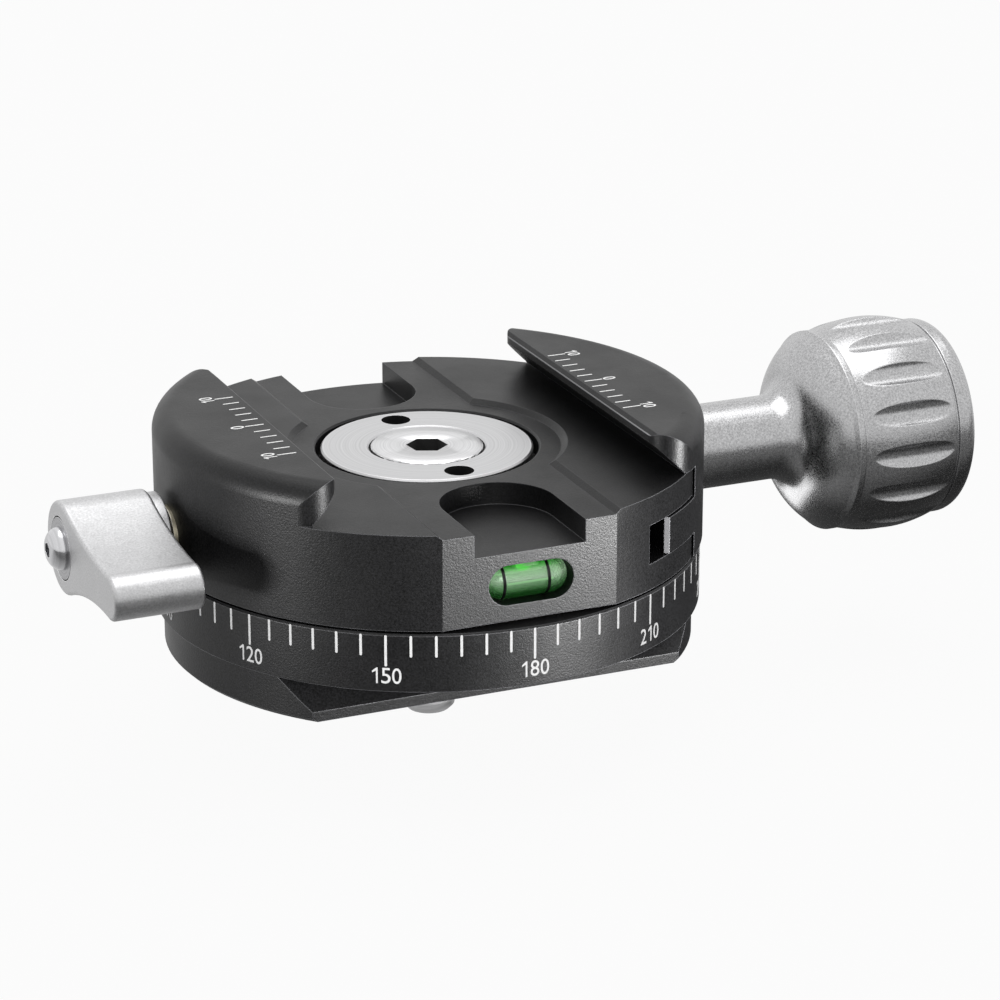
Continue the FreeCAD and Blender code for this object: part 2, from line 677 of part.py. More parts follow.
def make_clamp_body():
    """Body that turns on the base, with the fixed jaw, the moving jaw's slots and the brake's bore."""
    body = new_body("clamp_body")
    beyond = dim.ring_radius + OVERRUN
    drum = sketch_on(body, "XY_Plane", "body_drum", body_bottom)
    draw_circle(drum, 0, 0, body_radius)
    pad(body, drum, dim.body_height)

    jaw = sketch_on(body, "XY_Plane", "fixed_jaw", deck)
    draw(jaw, jaw_plan(-1, channel_nose, body_radius))
    pad(body, jaw, dim.jaw_rise)
    undercut = sketch_on(body, "XZ_Plane", "fixed_jaw_face")
    draw(undercut, [
        (-dim.channel_foot, deck),
        (-dim.channel_foot, foot_top),
        (-channel_nose, nose_bottom),
        (-channel_nose, nose_top),
        (-channel_top, jaw_top),
        (0, jaw_top),
        (0, deck),
    ])
    pocket(body, undercut, beyond * 2, symmetric=True)
    round_jaw_top(body, "fixed_jaw_top")

    front = sketch_on(body, "XY_Plane", "front_flat", body_bottom - OVERRUN)
    draw(front, [
        (-beyond, -dim.front_flat),
        (beyond, -dim.front_flat),
        (beyond, -beyond),
        (-beyond, -beyond),
    ])
    pocket(body, front, dim.body_height + OVERRUN * 2, along=True)
    side_wall = sketch_on(body, "XY_Plane", "jaw_side", body_bottom - OVERRUN)
    side_x = dim.jaw_wall - dim.jaw_wall_gap
    draw(side_wall, [
        (side_x, -beyond),
        (beyond, -beyond),
        (beyond, beyond),
        (side_x, beyond),
    ])
    pocket(body, side_wall, dim.body_height + OVERRUN * 2, along=True)
    cut_deck(body)
    cut_pockets(body)

    core = sketch_on(body, "XZ_Plane", "hub_bore")
    recess = dim.disc_radius + dim.recess_gap
    draw(core, [
        (0, body_bottom - OVERRUN),
        (body_bore, body_bottom - OVERRUN),
        (body_bore, flange_bottom),
        (dim.flange_bore, flange_bottom),
        (dim.flange_bore, flange_top),
        (recess, flange_top),
        (recess, strip_top - dim.edge_break),
        (recess + dim.edge_break * 2, strip_top + dim.edge_break),
        (0, strip_top + dim.edge_break),
    ])
    revolve(body, core, "V_Axis", removes=True)

    slots = sketch_on(body, "XY_Plane", "tongue_slots", tongue_low - dim.slide_play)
    for side in (1, -1):
        draw(slots, [
            (dim.slot_start, side * dim.web_half_width),
            (beyond, side * dim.web_half_width),
            (beyond, side * beyond),
            (dim.slot_start, side * beyond),
        ])
    pocket(body, slots, dim.tongue_thickness + dim.slide_play * 2, along=True)
    for side, name in ((1, "rear"), (-1, "front")):
        bore_along_x(body, f"{name}_spring_bore", side * dim.guide_place, guide_height,
                     dim.spring_bore_radius, spring_bore_end, dim.slot_start)
    bore_along_x(body, "clamp_screw_bore", 0, dim.knob_height, dim.screw_radius + dim.thread_play,
                 dim.hub_radius - OVERRUN, beyond)
    bore_along_x(body, "bush_bore", 0, lock_height, bush_radius, -beyond, bush_inner_end)
    bore_along_x(body, "stud_bore", 0, lock_height, dim.lock_radius + dim.thread_play,
                 bush_inner_end - OVERRUN, shoe_back)
    bore_along_x(body, "shoe_bore", 0, lock_height, dim.shoe_radius + dim.shoe_play,
                 shoe_back - OVERRUN, -dim.hub_radius)

    window = sketch_on(body, "XZ_Plane", "level_window", dim.front_flat - dim.window_depth)
    end_radius = dim.window_height / 2
    straight = dim.window_length / 2 - end_radius
    draw(window, [
        (dim.vial_place - straight, dim.vial_height + end_radius),
        (dim.vial_place + straight, dim.vial_height + end_radius,
         dim.vial_place + dim.window_length / 2, dim.vial_height),
        (dim.vial_place + straight, dim.vial_height - end_radius),
        (dim.vial_place - straight, dim.vial_height - end_radius,
         dim.vial_place - dim.window_length / 2, dim.vial_height),
    ])
    pocket(body, window, dim.window_depth + OVERRUN, along=True)


def capsule_profile(body, label, radius, length):
    """Upper half of a capsule's outline, for turning about the level axis."""
    straight = length / 2 - radius
    profile = sketch_on(body, "XZ_Plane", label)
    draw(profile, [
        (-(length / 2), 0, -(straight + radius * SLANT), radius * SLANT),
        (-straight, radius),
        (straight, radius, straight + radius * SLANT, radius * SLANT),
        (length / 2, 0),
    ])
    return profile


def make_level():
    """Bubble level: a clear round-ended vial, filled but for its bubble."""
    outer = dim.window_height / 2 - dim.vial_play
    length = dim.window_length - dim.vial_play * 2
    centre_y = outer - dim.vial_proud - dim.front_flat
    for label, radius, long in (("level_vial", outer, length),
                                ("level_liquid", outer - dim.vial_wall, length - dim.vial_wall * 2)):
        body = new_body(label)
        place(body, dim.vial_place, centre_y, dim.vial_height)
        revolve(body, capsule_profile(body, f"{label}_profile", radius, long), "H_Axis")
    hollow_radius = outer - dim.vial_wall
    vial = doc.getObject("level_vial")
    hollow = capsule_profile(vial, "vial_hollow", hollow_radius, length - dim.vial_wall * 2)
    revolve(vial, hollow, "H_Axis", removes=True)
    liquid = doc.getObject("level_liquid")
    bubble = sketch_on(liquid, "YZ_Plane", "bubble", -(dim.bubble_length / 2))
    draw_circle(bubble, 0, hollow_radius, dim.bubble_radius)
    pocket(liquid, bubble, dim.bubble_length, along=True)


def make_stud_bush():
    """Threaded brass bush, pressed into the body, for the lock stud."""
    body = new_body("stud_bush", z=lock_height)
    profile = sketch_on(body, "XZ_Plane", "bush_profile")
    bore = dim.lock_radius + dim.thread_play
    draw(profile, [
        (bush_outer_end, bore),
        (bush_outer_end, bush_radius - dim.edge_break),
        (bush_outer_end + dim.edge_break, bush_radius),
        (bush_inner_end, bush_radius),
        (bush_inner_end, bore),
    ])
    revolve(body, profile, "H_Axis")


def make_movable_jaw():
    """Jaw that slides along X on two tongues. Its body's origin is on the axis of its own round wall."""
    body = new_body("movable_jaw", x=dim.jaw_offset)
    shift = dim.jaw_offset
    beyond = dim.ring_radius + OVERRUN
    low = body_bottom + dim.jaw_floor_gap
    plan = sketch_on(body, "XY_Plane", "jaw_outline", low)
    draw(plan, jaw_plan(1, channel_nose - shift, body_radius))
    pad(body, plan, jaw_top - low)
    round_jaw_top(body, "moving_jaw_top")
    face = sketch_on(body, "XZ_Plane", "moving_jaw_face")
    wall = dim.jaw_wall - shift
    over_deck = deck + dim.jaw_deck_gap
    draw(face, [
        (0, body_bottom),
        (wall, body_bottom),
        (wall, over_deck),
        (dim.channel_foot - shift, over_deck),
        (dim.channel_foot - shift, foot_top),
        (channel_nose - shift, nose_bottom),
        (channel_nose - shift, nose_top),
        (channel_top - shift, jaw_top),
        (0, jaw_top),
    ])
    pocket(body, face, beyond * 2, symmetric=True)

    tongues = sketch_on(body, "XY_Plane", "guide_tongues", tongue_low)
    end = tongue_end - shift
    root_x = wall + dim.edge_break
    bevel = dim.tongue_chamfer
    end_y = leg(body_radius, end + bevel)
    half_way = (end + bevel + root_x) / 2
    for side in (1, -1):
        draw(tongues, [
            (end, side * tongue_side),
            (end, side * (end_y - bevel)),
            (end + bevel, side * end_y, half_way, side * leg(body_radius, half_way)),
            (root_x, side * leg(body_radius, root_x)),
            (root_x, side * tongue_side),
        ])
    pad(body, tongues, dim.tongue_thickness)
    for side, name in ((1, "rear"), (-1, "front")):
        bore_along_x(body, f"{name}_pin_hole", side * dim.guide_place, guide_height,
                     dim.pin_radius, end - OVERRUN, end + dim.pin_seat)
    bore_along_x(body, "jaw_screw_hole", 0, dim.knob_height, screw_hole, 0, beyond)
    washer_seat = neck_seat - dim.knob_washer_thickness - shift
    bore_along_x(body, "neck_seat", 0, dim.knob_height, dim.neck_radius + dim.neck_play,
                 washer_seat, beyond)


def make_guide_pins():
    """Steel pins in the tongues, which carry the springs."""
    pins = []
    for side, name in ((1, "rear"), (-1, "front")):
        pin = doc.addObject("Part::Cylinder", f"{name}_pin")
        pin.setExpression("Radius", dim.pin_radius.formula)
        pin.setExpression("Height", (pin_reach + dim.pin_seat).formula)
        place(pin, tongue_end - pin_reach, side * dim.guide_place, guide_height,
              FreeCAD.Rotation(FreeCAD.Vector(0, 1, 0), 90))
        pins.append(pin)
    group_part("guide_pins", pins)


def coil(label, radius, wire, length, turns, x, y, z):
    """Open coil spring of square wire along X, starting at x. wire is half the wire's diagonal."""
    path = doc.addObject("Part::Helix", f"{label}_path")
    path.setExpression("Radius", radius.formula)
    path.setExpression("Height", length.formula)
    path.setExpression("Pitch", (length / turns).formula)
    section = doc.addObject("Part::RegularPolygon", f"{label}_section")
    section.Polygon = 4
    section.setExpression("Circumradius", wire.formula)
    place(section, radius, 0, 0, FreeCAD.Rotation(FreeCAD.Vector(1, 0, 0), 90))
    doc.recompute()
    spring = doc.addObject("Part::Sweep", label)
    spring.Sections = [section]
    spring.Spine = (path, ["Edge1"])
    spring.Solid = True
    spring.Frenet = True
    place(spring, x, y, z, FreeCAD.Rotation(FreeCAD.Vector(0, 1, 0), 90))
    return spring


def make_jaw_springs():
    """Springs that push the jaw out against the knob."""
    springs = []
    start = spring_bore_end + dim.spring_wire + dim.thread_play
    length = tongue_end - dim.spring_wire - dim.thread_play - start
    for side, name in ((1, "rear"), (-1, "front")):
        springs.append(coil(f"{name}_spring", dim.spring_radius, dim.spring_wire, length, dim.spring_turns,
                            start, side * dim.guide_place, guide_height))
    group_part("jaw_springs", springs)


def make_knob_washer():
    body = new_body("knob_washer", z=dim.knob_height)
    outline = sketch_on(body, "YZ_Plane", "knob_washer_outline", neck_seat - dim.knob_washer_thickness)
    draw_circle(outline, 0, 0, dim.neck_radius + dim.knob_washer_play)
    draw_circle(outline, 0, 0, screw_hole + dim.knob_washer_play)
    pad(body, outline, dim.knob_washer_thickness)


def make_clamp_knob():
    """Turned knob: a neck that flares into a dome, a raised rim, and a barrel with finger scallops."""
    body = new_body("clamp_knob", z=dim.knob_height)
    profile = sketch_on(body, "XZ_Plane", "knob_profile")
    half_flare = dim.flare_angle / 2
    flare_start = jaw_face + dim.neck_length
    flare_end_x = flare_start + dim.neck_flare * sine(dim.flare_angle)
    flare_end_r = dim.neck_radius + dim.neck_flare * (1 - cosine(dim.flare_angle))
    flare_mid_x = flare_start + dim.neck_flare * sine(half_flare)
    flare_mid_r = dim.neck_radius + dim.neck_flare * (1 - cosine(half_flare))
    rim_x = jaw_face + dim.rim_place
    dome_mid = swell((flare_end_x, flare_end_r), (rim_x, dim.dome_radius), dim.dome_bulge)
    rim_height = dim.rim_radius - dim.dome_radius
    rim_end_x = rim_x + dim.rim_width
    barrel_start_r = dim.rim_radius - dim.rim_step
    barrel_end_x = rim_end_x + dim.barrel_length
    barrel_end_r = dim.barrel_radius - dim.barrel_fall
    groove_r = barrel_end_r - dim.end_groove
    band_start_x = barrel_end_x + dim.end_groove_width
    band_r = barrel_end_r - dim.end_groove / 4
    knob_end_x = band_start_x + dim.end_band
    screw_end_x = neck_seat + dim.clamp_screw_grip
    draw(profile, [
        (neck_seat, dim.screw_radius),
        (neck_seat, dim.neck_radius - dim.edge_break),
        (neck_seat + dim.edge_break, dim.neck_radius),
        (flare_start, dim.neck_radius, flare_mid_x, flare_mid_r),
        (flare_end_x, flare_end_r, *dome_mid),
        (rim_x, dim.dome_radius),
        (rim_x + rim_height, dim.rim_radius),
        (rim_end_x - dim.edge_break, dim.rim_radius),
        (rim_end_x, barrel_start_r, (rim_end_x + barrel_end_x) / 2 + dim.edge_break, dim.barrel_radius),
        (barrel_end_x, barrel_end_r),
        (barrel_end_x + dim.end_groove_width / 4, groove_r),
        (band_start_x - dim.end_groove_width / 4, groove_r),
        (band_start_x, band_r),
        (knob_end_x - dim.end_round, band_r,
         knob_end_x - dim.end_round * (1 - SLANT), band_r - dim.end_round * (1 - SLANT)),
        (knob_end_x, band_r - dim.end_round),
        (knob_end_x, 0),
        (screw_end_x, 0),
        (screw_end_x, dim.screw_radius),
    ])
    revolve(body, profile, "H_Axis")
    scallop = sketch_on(body, "YZ_Plane", "scallop", flare_start)
    draw_circle(scallop, 0, dim.barrel_radius - dim.scallop_depth + dim.scallop_radius, dim.scallop_radius)
    cut = pocket(body, scallop, dim.ring_radius, along=True)
    repeat_round(body, cut, dim.scallop_count, True)


def make_clamp_screw():
    """Threaded rod fixed in the knob, which draws the jaw in."""
    body = new_body("clamp_screw", z=dim.knob_height)
    profile = sketch_on(body, "XZ_Plane", "clamp_screw_profile")
    end = neck_seat + dim.clamp_screw_grip
    tip = dim.screw_radius - dim.screw_tip_chamfer
    draw(profile, [
        (clamp_screw_start, 0),
        (clamp_screw_start, tip),
        (clamp_screw_start + dim.screw_tip_chamfer, dim.screw_radius),
        (end, dim.screw_radius),
        (end, 0),
    ])
    revolve(body, profile, "H_Axis")


def make_brake_shoe():
    """Brass plug whose hollow end grips the hub."""
    body = new_body("brake_shoe", z=lock_height)
    plug = sketch_on(body, "YZ_Plane", "shoe_outline", shoe_back)
    draw_circle(plug, 0, 0, dim.shoe_radius)
    pad(body, plug, dim.shoe_length + dim.edge_break)
    hollow = sketch_on(body, "XY_Plane", "shoe_hollow")
    draw_circle(hollow, 0, 0, dim.hub_radius + dim.shoe_gap)
    pocket(body, hollow, (dim.shoe_radius + OVERRUN) * 2, symmetric=True)


def make_lock_stud():
    """Threaded stud that presses the shoe, with a thin outer end inside the lever."""
    body = new_body("lock_stud", z=lock_height)
    profile = sketch_on(body, "XZ_Plane", "stud_profile")
    tip = dim.lock_radius - dim.screw_tip_chamfer
    draw(profile, [
        (shoe_back, 0),
        (shoe_back, tip),
        (shoe_back - dim.screw_tip_chamfer, dim.lock_radius),
        (lever_inner_end, dim.lock_radius),
        (lever_inner_end, dim.spindle_radius),
        (spindle_end, dim.spindle_radius),
        (spindle_end, dim.end_screw_radius),
        (spindle_end + dim.end_screw_length, dim.end_screw_radius),
        (spindle_end + dim.end_screw_length, 0),
    ])
    revolve(body, profile, "H_Axis")


def make_lever_insert():
    """Splined sleeve fixed on the stud."""
    body = new_body("lever_insert", z=lock_height)
    profile = sketch_on(body, "XZ_Plane", "insert_profile")
    neck = dim.spline_root - dim.spline_play
    draw(profile, [
        (lever_inner_end, dim.spindle_radius),
        (lever_inner_end, dim.spline_root),
        (spline_end, dim.spline_root),
        (spline_end, neck),
        (insert_end, neck),
        (insert_end, dim.spindle_radius),
    ])
    revolve(body, profile, "H_Axis")
    tooth = sketch_on(body, "YZ_Plane", "insert_spline", spline_end)
    half = dim.spline_width / 2
    tip_half = half * dim.spline_taper
    draw(tooth, [
        (-half, dim.spline_root - dim.edge_break),
        (half, dim.spline_root - dim.edge_break),
        (tip_half, dim.spline_tip),
        (-tip_half, dim.spline_tip),
    ])
    first = pad(body, tooth, dim.spline_length)
    repeat_round(body, first, dim.spline_count, False)


def make_lock_lever():
    """Lever with a round hub and a waisted arm that points to the front.

    It pulls out against its spring to be set at another angle on the splines."""
    body = new_body("lock_lever", z=lock_height)
    hub = dim.lever_hub_radius
    reach = dim.lever_reach
    outline = sketch_on(body, "YZ_Plane", "lever_outline", lever_outer_end)
    draw(outline, [
        (-(hub * cosine(dim.arm_top_turn)), hub * sine(dim.arm_top_turn), -(reach / 2), dim.arm_waist_top),
        (-reach, dim.tip_top, -(reach + dim.tip_length), (dim.tip_top - dim.tip_bottom) / 2),
        (-(reach + dim.tip_lean), -dim.tip_bottom, -(reach / 2), -dim.arm_waist_bottom),
        (-(hub * cosine(dim.arm_bottom_turn)), -(hub * sine(dim.arm_bottom_turn)), hub, 0),
    ])
    arm = pad(body, outline, dim.lever_width - dim.lever_boss)
    ridged = round_edges(body, arm, dim.lever_ridge,
                         lambda edge: edge.BoundBox.XLength > FLAT and edge.BoundBox.YMax < -hub.value,
                         "lever_ridges")
    round_edges(body, ridged, dim.lever_edge, lambda edge: edge.BoundBox.XLength < FLAT, "lever_edges")
    boss = sketch_on(body, "YZ_Plane", "lever_boss_outline", lever_tail_side)
    draw_circle(boss, 0, 0, hub - dim.lever_edge)
    pad(body, boss, dim.lever_boss)
    bore = sketch_on(body, "XZ_Plane", "lever_bore_profile")
    wide = dim.spline_tip + dim.spline_play
    draw(bore, [
        (lever_outer_end - OVERRUN, 0),
        (lever_outer_end - OVERRUN, dim.lever_bore),
        (shoulder_outer, dim.lever_bore),
        (shoulder_outer, dim.spindle_radius + dim.spline_play),
        (shoulder_inner, dim.spindle_radius + dim.spline_play),
        (shoulder_inner, wide),
        (spline_end, wide),
        (spline_end, dim.spline_root + dim.spline_play),
        (lever_inner_end + OVERRUN, dim.spline_root + dim.spline_play),
        (lever_inner_end + OVERRUN, 0),
    ])
    revolve(body, bore, "H_Axis", removes=True)
    space = sketch_on(body, "YZ_Plane", "lever_spline", spline_end)
    half = dim.spline_width / 2 + dim.spline_play
    tip_half = dim.spline_width / 2 * dim.spline_taper + dim.spline_play
    draw(space, [
        (-half, dim.spline_root - dim.edge_break),
        (half, dim.spline_root - dim.edge_break),
        (tip_half, wide),
        (-tip_half, wide),
    ])
    first = pocket(body, space, dim.spline_length + OVERRUN, along=True)
    repeat_round(body, first, dim.spline_count, True)


def make_lever_fastening():
    """Washer, screw and spring in the lever's outer end."""
    washer = new_body("lever_washer", z=lock_height)
    outline = sketch_on(washer, "YZ_Plane", "lever_washer_outline", lever_outer_end)
    draw_circle(outline, 0, 0, dim.end_washer_radius)
    draw_circle(outline, 0, 0, dim.end_screw_radius + dim.edge_break / 2)
    pad(washer, outline, dim.end_washer_thickness)

    screw = new_body("lever_screw", z=lock_height)
    profile = sketch_on(screw, "XZ_Plane", "lever_screw_profile")
    head_end = lever_outer_end - dim.end_head_height
    head_start = lever_outer_end - dim.edge_break
    flat = dim.end_head_radius / 2
    draw(profile, [
        (lever_outer_end + dim.end_screw_length, 0),
        (lever_outer_end + dim.end_screw_length, dim.end_screw_radius),
        (lever_outer_end, dim.end_screw_radius),
        (lever_outer_end, dim.end_head_radius),
        (head_start, dim.end_head_radius, *swell((head_end, flat), (head_start, dim.end_head_radius),
                                                 dim.end_head_bulge)),
        (head_end, flat),
        (head_end, 0),
    ])
    revolve(screw, profile, "H_Axis")
    socket = sketch_on(screw, "YZ_Plane", "lever_screw_socket", head_end)
    draw_hexagon(socket, dim.end_head_hex, dim.head_hex_turn)
    pocket(screw, socket, dim.end_hex_depth, along=True)

    start = spindle_end + dim.lever_spring_wire + dim.thread_play
    length = shoulder_outer - dim.lever_spring_wire - dim.thread_play - start
    spring = coil("lever_spring", dim.lever_spring_radius, dim.lever_spring_wire, length,
                  dim.lever_spring_turns, start, 0, lock_height)
    parts.append(spring)


def check_parts():
    """Every object recomputed without a fault, and every piece whole."""
    for item in doc.Objects:
        if "Invalid" in item.State or "Error" in item.State:
            raise RuntimeError(f"{item.Label} is {item.State}")
        if item.isDerivedFrom("Sketcher::SketchObject") and not item.FullyConstrained:
            raise RuntimeError(f"{item.Label} isn't held by its sizes")
    for part in parts:
        if part.Shape.isNull() or not part.Shape.isValid() or not part.Shape.Solids:
            raise RuntimeError(f"{part.Label} has no sound shape")


make_scale_base()
make_retaining_disc()
make_mounting_screw()
make_bearing_washers()
make_clamp_body()
make_level()
make_stud_bush()
make_movable_jaw()
make_guide_pins()
make_jaw_springs()
make_knob_washer()
make_clamp_knob()
make_clamp_screw()
make_brake_shoe()
make_lock_stud()
make_lever_insert()
make_lock_lever()
make_lever_fastening()
doc.recompute()
check_parts()
os.makedirs("parts", exist_ok=True)
for part in parts:
    part.Shape.exportStep(f"parts/{part.Label}.step")
    print(f"{part.Label}: {len(part.Shape.Solids)} solid, {part.Shape.Volume:.1f} mm3")
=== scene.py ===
import math

import bmesh
import bpy
from mathutils import Matrix, Vector


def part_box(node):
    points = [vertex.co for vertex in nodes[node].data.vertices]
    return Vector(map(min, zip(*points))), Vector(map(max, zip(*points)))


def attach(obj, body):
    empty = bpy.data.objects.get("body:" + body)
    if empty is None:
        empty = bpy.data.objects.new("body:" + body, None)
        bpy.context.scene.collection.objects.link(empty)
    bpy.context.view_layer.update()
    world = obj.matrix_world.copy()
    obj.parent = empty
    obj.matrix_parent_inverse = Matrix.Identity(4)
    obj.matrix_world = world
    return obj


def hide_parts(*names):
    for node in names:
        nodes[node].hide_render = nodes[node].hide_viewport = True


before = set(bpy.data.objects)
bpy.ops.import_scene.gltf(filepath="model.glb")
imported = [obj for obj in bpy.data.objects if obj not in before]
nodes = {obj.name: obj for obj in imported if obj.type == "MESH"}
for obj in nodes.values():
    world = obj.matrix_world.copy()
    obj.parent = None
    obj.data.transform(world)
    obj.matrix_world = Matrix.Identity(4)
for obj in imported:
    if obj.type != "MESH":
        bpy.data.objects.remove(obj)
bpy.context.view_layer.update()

# Looks of a panoramic tripod head: finishes for the CAD pieces, engraved scales, the lines of the level and
# the painted highlight of its bubble, the thread of the mounting screw, and a pale studio. Sizes and places
# on the head are in millimetres until MM turns them to metres. Those of the lamps and the camera are in
# metres.
MM = 0.001


def low(node):
    """Lowest corner of a CAD node, in millimetres."""
    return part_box(node)[0] / MM


def high(node):
    """Highest corner of a CAD node, in millimetres."""
    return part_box(node)[1] / MM


# Places taken from the CAD pieces.
RING_RADIUS = high("scale_base").x
JAW_TOP = high("movable_jaw").z
DISC_TOP = high("retaining_disc").z
SCREW_END = low("mounting_screw").z
SCREW_TOP = high("mounting_screw").z
TONGUE_END = low("movable_jaw").x
VIAL_LOW = low("level_vial")
VIAL_HIGH = high("level_vial")
VIAL_MIDDLE = (VIAL_LOW + VIAL_HIGH) / 2
VIAL_RADIUS = (VIAL_HIGH.z - VIAL_LOW.z) / 2
KNOB_AXIS = (low("clamp_knob").z + high("clamp_knob").z) / 2
LOCK_AXIS = (low("stud_bush").z + high("stud_bush").z) / 2

# Axes that pieces are turned about: a point on each, and whether it runs along X or upright.
PAN_CENTRE = (0, 0, 0)
KNOB_CENTRE = (0, 0, KNOB_AXIS)
LOCK_CENTRE = (0, 0, LOCK_AXIS)
SIDEWAYS = 0
UPRIGHT = 2

# Upright holes as x, y and radius, how far below its mouth the painted shade in a hole starts, and the
# radius and width of the painted shade of the gap round the screw's head.
DISC_HOLES = ((0.0, -9.2, 1.75), (0.0, 9.2, 1.75))
SOCKET = (0.0, 0.0, 2.42)
HOLE_LIP = 0.02
SEAM_RADIUS = 6.25
SEAM_WIDTH = 0.24

# The painted highlight of the bubble: its middle, its even core, and how far it fades.
BUBBLE_ALONG = -0.4
BUBBLE_BELOW_TOP = 0.7
BUBBLE = (BUBBLE_ALONG, VIAL_MIDDLE.y, VIAL_HIGH.z - BUBBLE_BELOW_TOP)
BUBBLE_CORE = 0.5
BUBBLE_REACH = 1.3

# Finishes: the grain of blasting, the turn between two faces at which the painted edge highlight starts
# and is strongest, and the bright chamfer on the tongues, by its reach inwards and the slant of its faces.
BLAST_GRAIN = 0.2
EDGE_START = 0.99
EDGE_FULL = 0.85
CHAMFER_REACH = 0.5
CHAMFER_SLANT = (-0.9, -0.5)

# Engraved scales. A mark stands clear of its surface by MARK_LIFT and is MARK_DEPTH thick.
MARK_LIFT = 0.012
MARK_DEPTH = 0.02
RING_MARK_TOP = 11.08
RING_MARK_SHORT = 2.39
RING_MARK_LONG = 3.46
RING_MARK_WIDTH = 0.27
RING_STEP = 5
RING_LONG_STEP = 30
RING_TURN = -0.42
RING_NUMBER_TOP = 7.45
RING_NUMBER_HEIGHT = 1.74
MARK_ROUNDING = 0.49
MARK_ROUNDING_STEPS = 3
FIGURE_WIDTH = 0.56
FIGURE_ADVANCE = 0.65
FIGURE_THINNING = 0.003
FIGURE_EXTRUSION = 0.01
FIGURE_CURVE_STEPS = 5
FIGURE_ONE = ((0.16, 0), (0.16, 1), (0.07, 1), (-0.18, 0.79), (-0.18, 0.67), (0.05, 0.8), (0.05, 0))
JAW_MARK_PITCH = 2.0
JAW_MARK_COUNT = 11
JAW_MARK_SHORT = 1.85
JAW_MARK_LONG = 2.15
JAW_MARK_WIDTH = 0.19
JAW_NUMBER_HEIGHT = 1.5
JAW_NUMBER_GAP = 0.1
LEFT_MARK_START = -18.98
LEFT_MARK_SHIFT = -0.54
RIGHT_MARK_START = 18.57
RIGHT_MARK_SHIFT = -0.66

# Lines round the vial.
LINE_PLACES = (-2.9, 2.12)
LINE_WIDTH = 0.34
LINE_THICKNESS = 0.04
LINE_LIFT = 0.015
LINE_STEPS = 64

# Thread of the mounting screw. THREAD_FLAT is the share of a turn where the crest starts and stops.
THREAD_PITCH = 1.0
THREAD_ROOT = 2.46
THREAD_CREST = 2.98
THREAD_FLAT = (0.42, 0.58)
THREAD_TAPER = 0.6
THREAD_TOP = 0.02
THREAD_STEPS = 48
MERGE_DISTANCE = 0.001
SMOOTH_ANGLE = 30


def linear(code):
    """Linear colour of an sRGB hex code."""
    channels = [int(code[i:i + 2], 16) / 255 for i in (1, 3, 5)]
    return tuple(c / 12.92 if c <= 0.04045 else ((c + 0.055) / 1.055) ** 2.4 for c in channels) + (1.0,)


def add_node(tree, kind, settings=None, links=None):
    """Add a node. settings gives its properties and plain inputs, links the outputs that feed its
    inputs."""
    node = tree.nodes.new(kind)
    for key, value in (settings or {}).items():
        if isinstance(key, str) and hasattr(node, key):
            setattr(node, key, value)
        else:
            node.inputs[key].default_value = value
    for key, output in (links or {}).items():
        tree.links.new(output, node.inputs[key])
    return node


def new_material(name):
    """A material with nothing in it but its output."""
    material = bpy.data.materials.new(name)
    material.use_nodes = True
    tree = material.node_tree
    tree.nodes.clear()
    return material, tree


def finish_material(tree, shader):
    """Put a shader on the material's surface."""
    add_node(tree, "ShaderNodeOutputMaterial", links={"Surface": shader})


def grain(tree, place, size_mm, least=0.3, most=0.7, detail=2.0):
    """Noise whose grains are about that wide, stretched to run from nought to one."""
    noise = add_node(tree, "ShaderNodeTexNoise",
                     {"Scale": 1 / (size_mm * MM), "Detail": detail, "Roughness": 0.6},
                     {"Vector": place}).outputs["Fac"]
    return spread(tree, noise, 0.0, 1.0, least, most)


def spread(tree, value, start, end, least=0.0, most=1.0):
    """A value that runs from least to most, stretched to run from start to end and kept there."""
    return add_node(tree, "ShaderNodeMapRange",
                    {"From Min": least, "From Max": most, "To Min": start, "To Max": end},
                    {"Value": value}).outputs["Result"]


def combine(tree, operation, first, second):
    """Two values put together by a math operation. The second may be a plain number."""
    if isinstance(second, (int, float)):
        return add_node(tree, "ShaderNodeMath", {"operation": operation, 1: second}, {0: first}).outputs[0]
    return add_node(tree, "ShaderNodeMath", {"operation": operation}, {0: first, 1: second}).outputs[0]


def bump(tree, height, depth_mm, strength=1.0, normal=None):
    """The normal of a surface with that relief on it."""
    links = {"Height": height}
    if normal is not None:
        links["Normal"] = normal
    relief = add_node(tree, "ShaderNodeBump", {"Distance": depth_mm * MM, "Strength": strength}, links)
    return relief.outputs["Normal"]


def two_tone(tree, mix, dark, pale):
    """A colour between two, by a nought-to-one value. Each is a hex code or comes from a node."""
    node = add_node(tree, "ShaderNodeMix", {"data_type": "RGBA"}, {"Factor": mix})
    for socket, colour in ((node.inputs[6], dark), (node.inputs[7], pale)):
        if isinstance(colour, str):
            socket.default_value = linear(colour)
        else:
            tree.links.new(colour, socket)
    return node.outputs[2]


def edges(tree, width_mm):
    """One on the edges and nought elsewhere, which is where the finishes paint a highlight, and the normal
    that rounds the edges by that width.
    """
    rounded = add_node(tree, "ShaderNodeBevel", {"samples": 6, "Radius": width_mm * MM}).outputs[0]
    flat = add_node(tree, "ShaderNodeNewGeometry").outputs["Normal"]
    turned = add_node(tree, "ShaderNodeVectorMath", {"operation": "DOT_PRODUCT"}, {0: rounded, 1: flat})
    return spread(tree, turned.outputs["Value"], 0.0, 1.0, EDGE_START, EDGE_FULL), rounded


def inside_hole(tree, place, hole, mouth_mm):
    """One below the mouth of an upright hole, which is its x, y and radius in millimetres, and nought
    elsewhere."""
    x, y, radius = hole
    near = combine(tree, "LESS_THAN", radius_from_axis(tree, place, (x, y, 0), 2), radius * MM)
    height = add_node(tree, "ShaderNodeSeparateXYZ", links={0: place}).outputs["Z"]
    below = combine(tree, "LESS_THAN", height, (mouth_mm - HOLE_LIP) * MM)
    return combine(tree, "MULTIPLY", near, below)


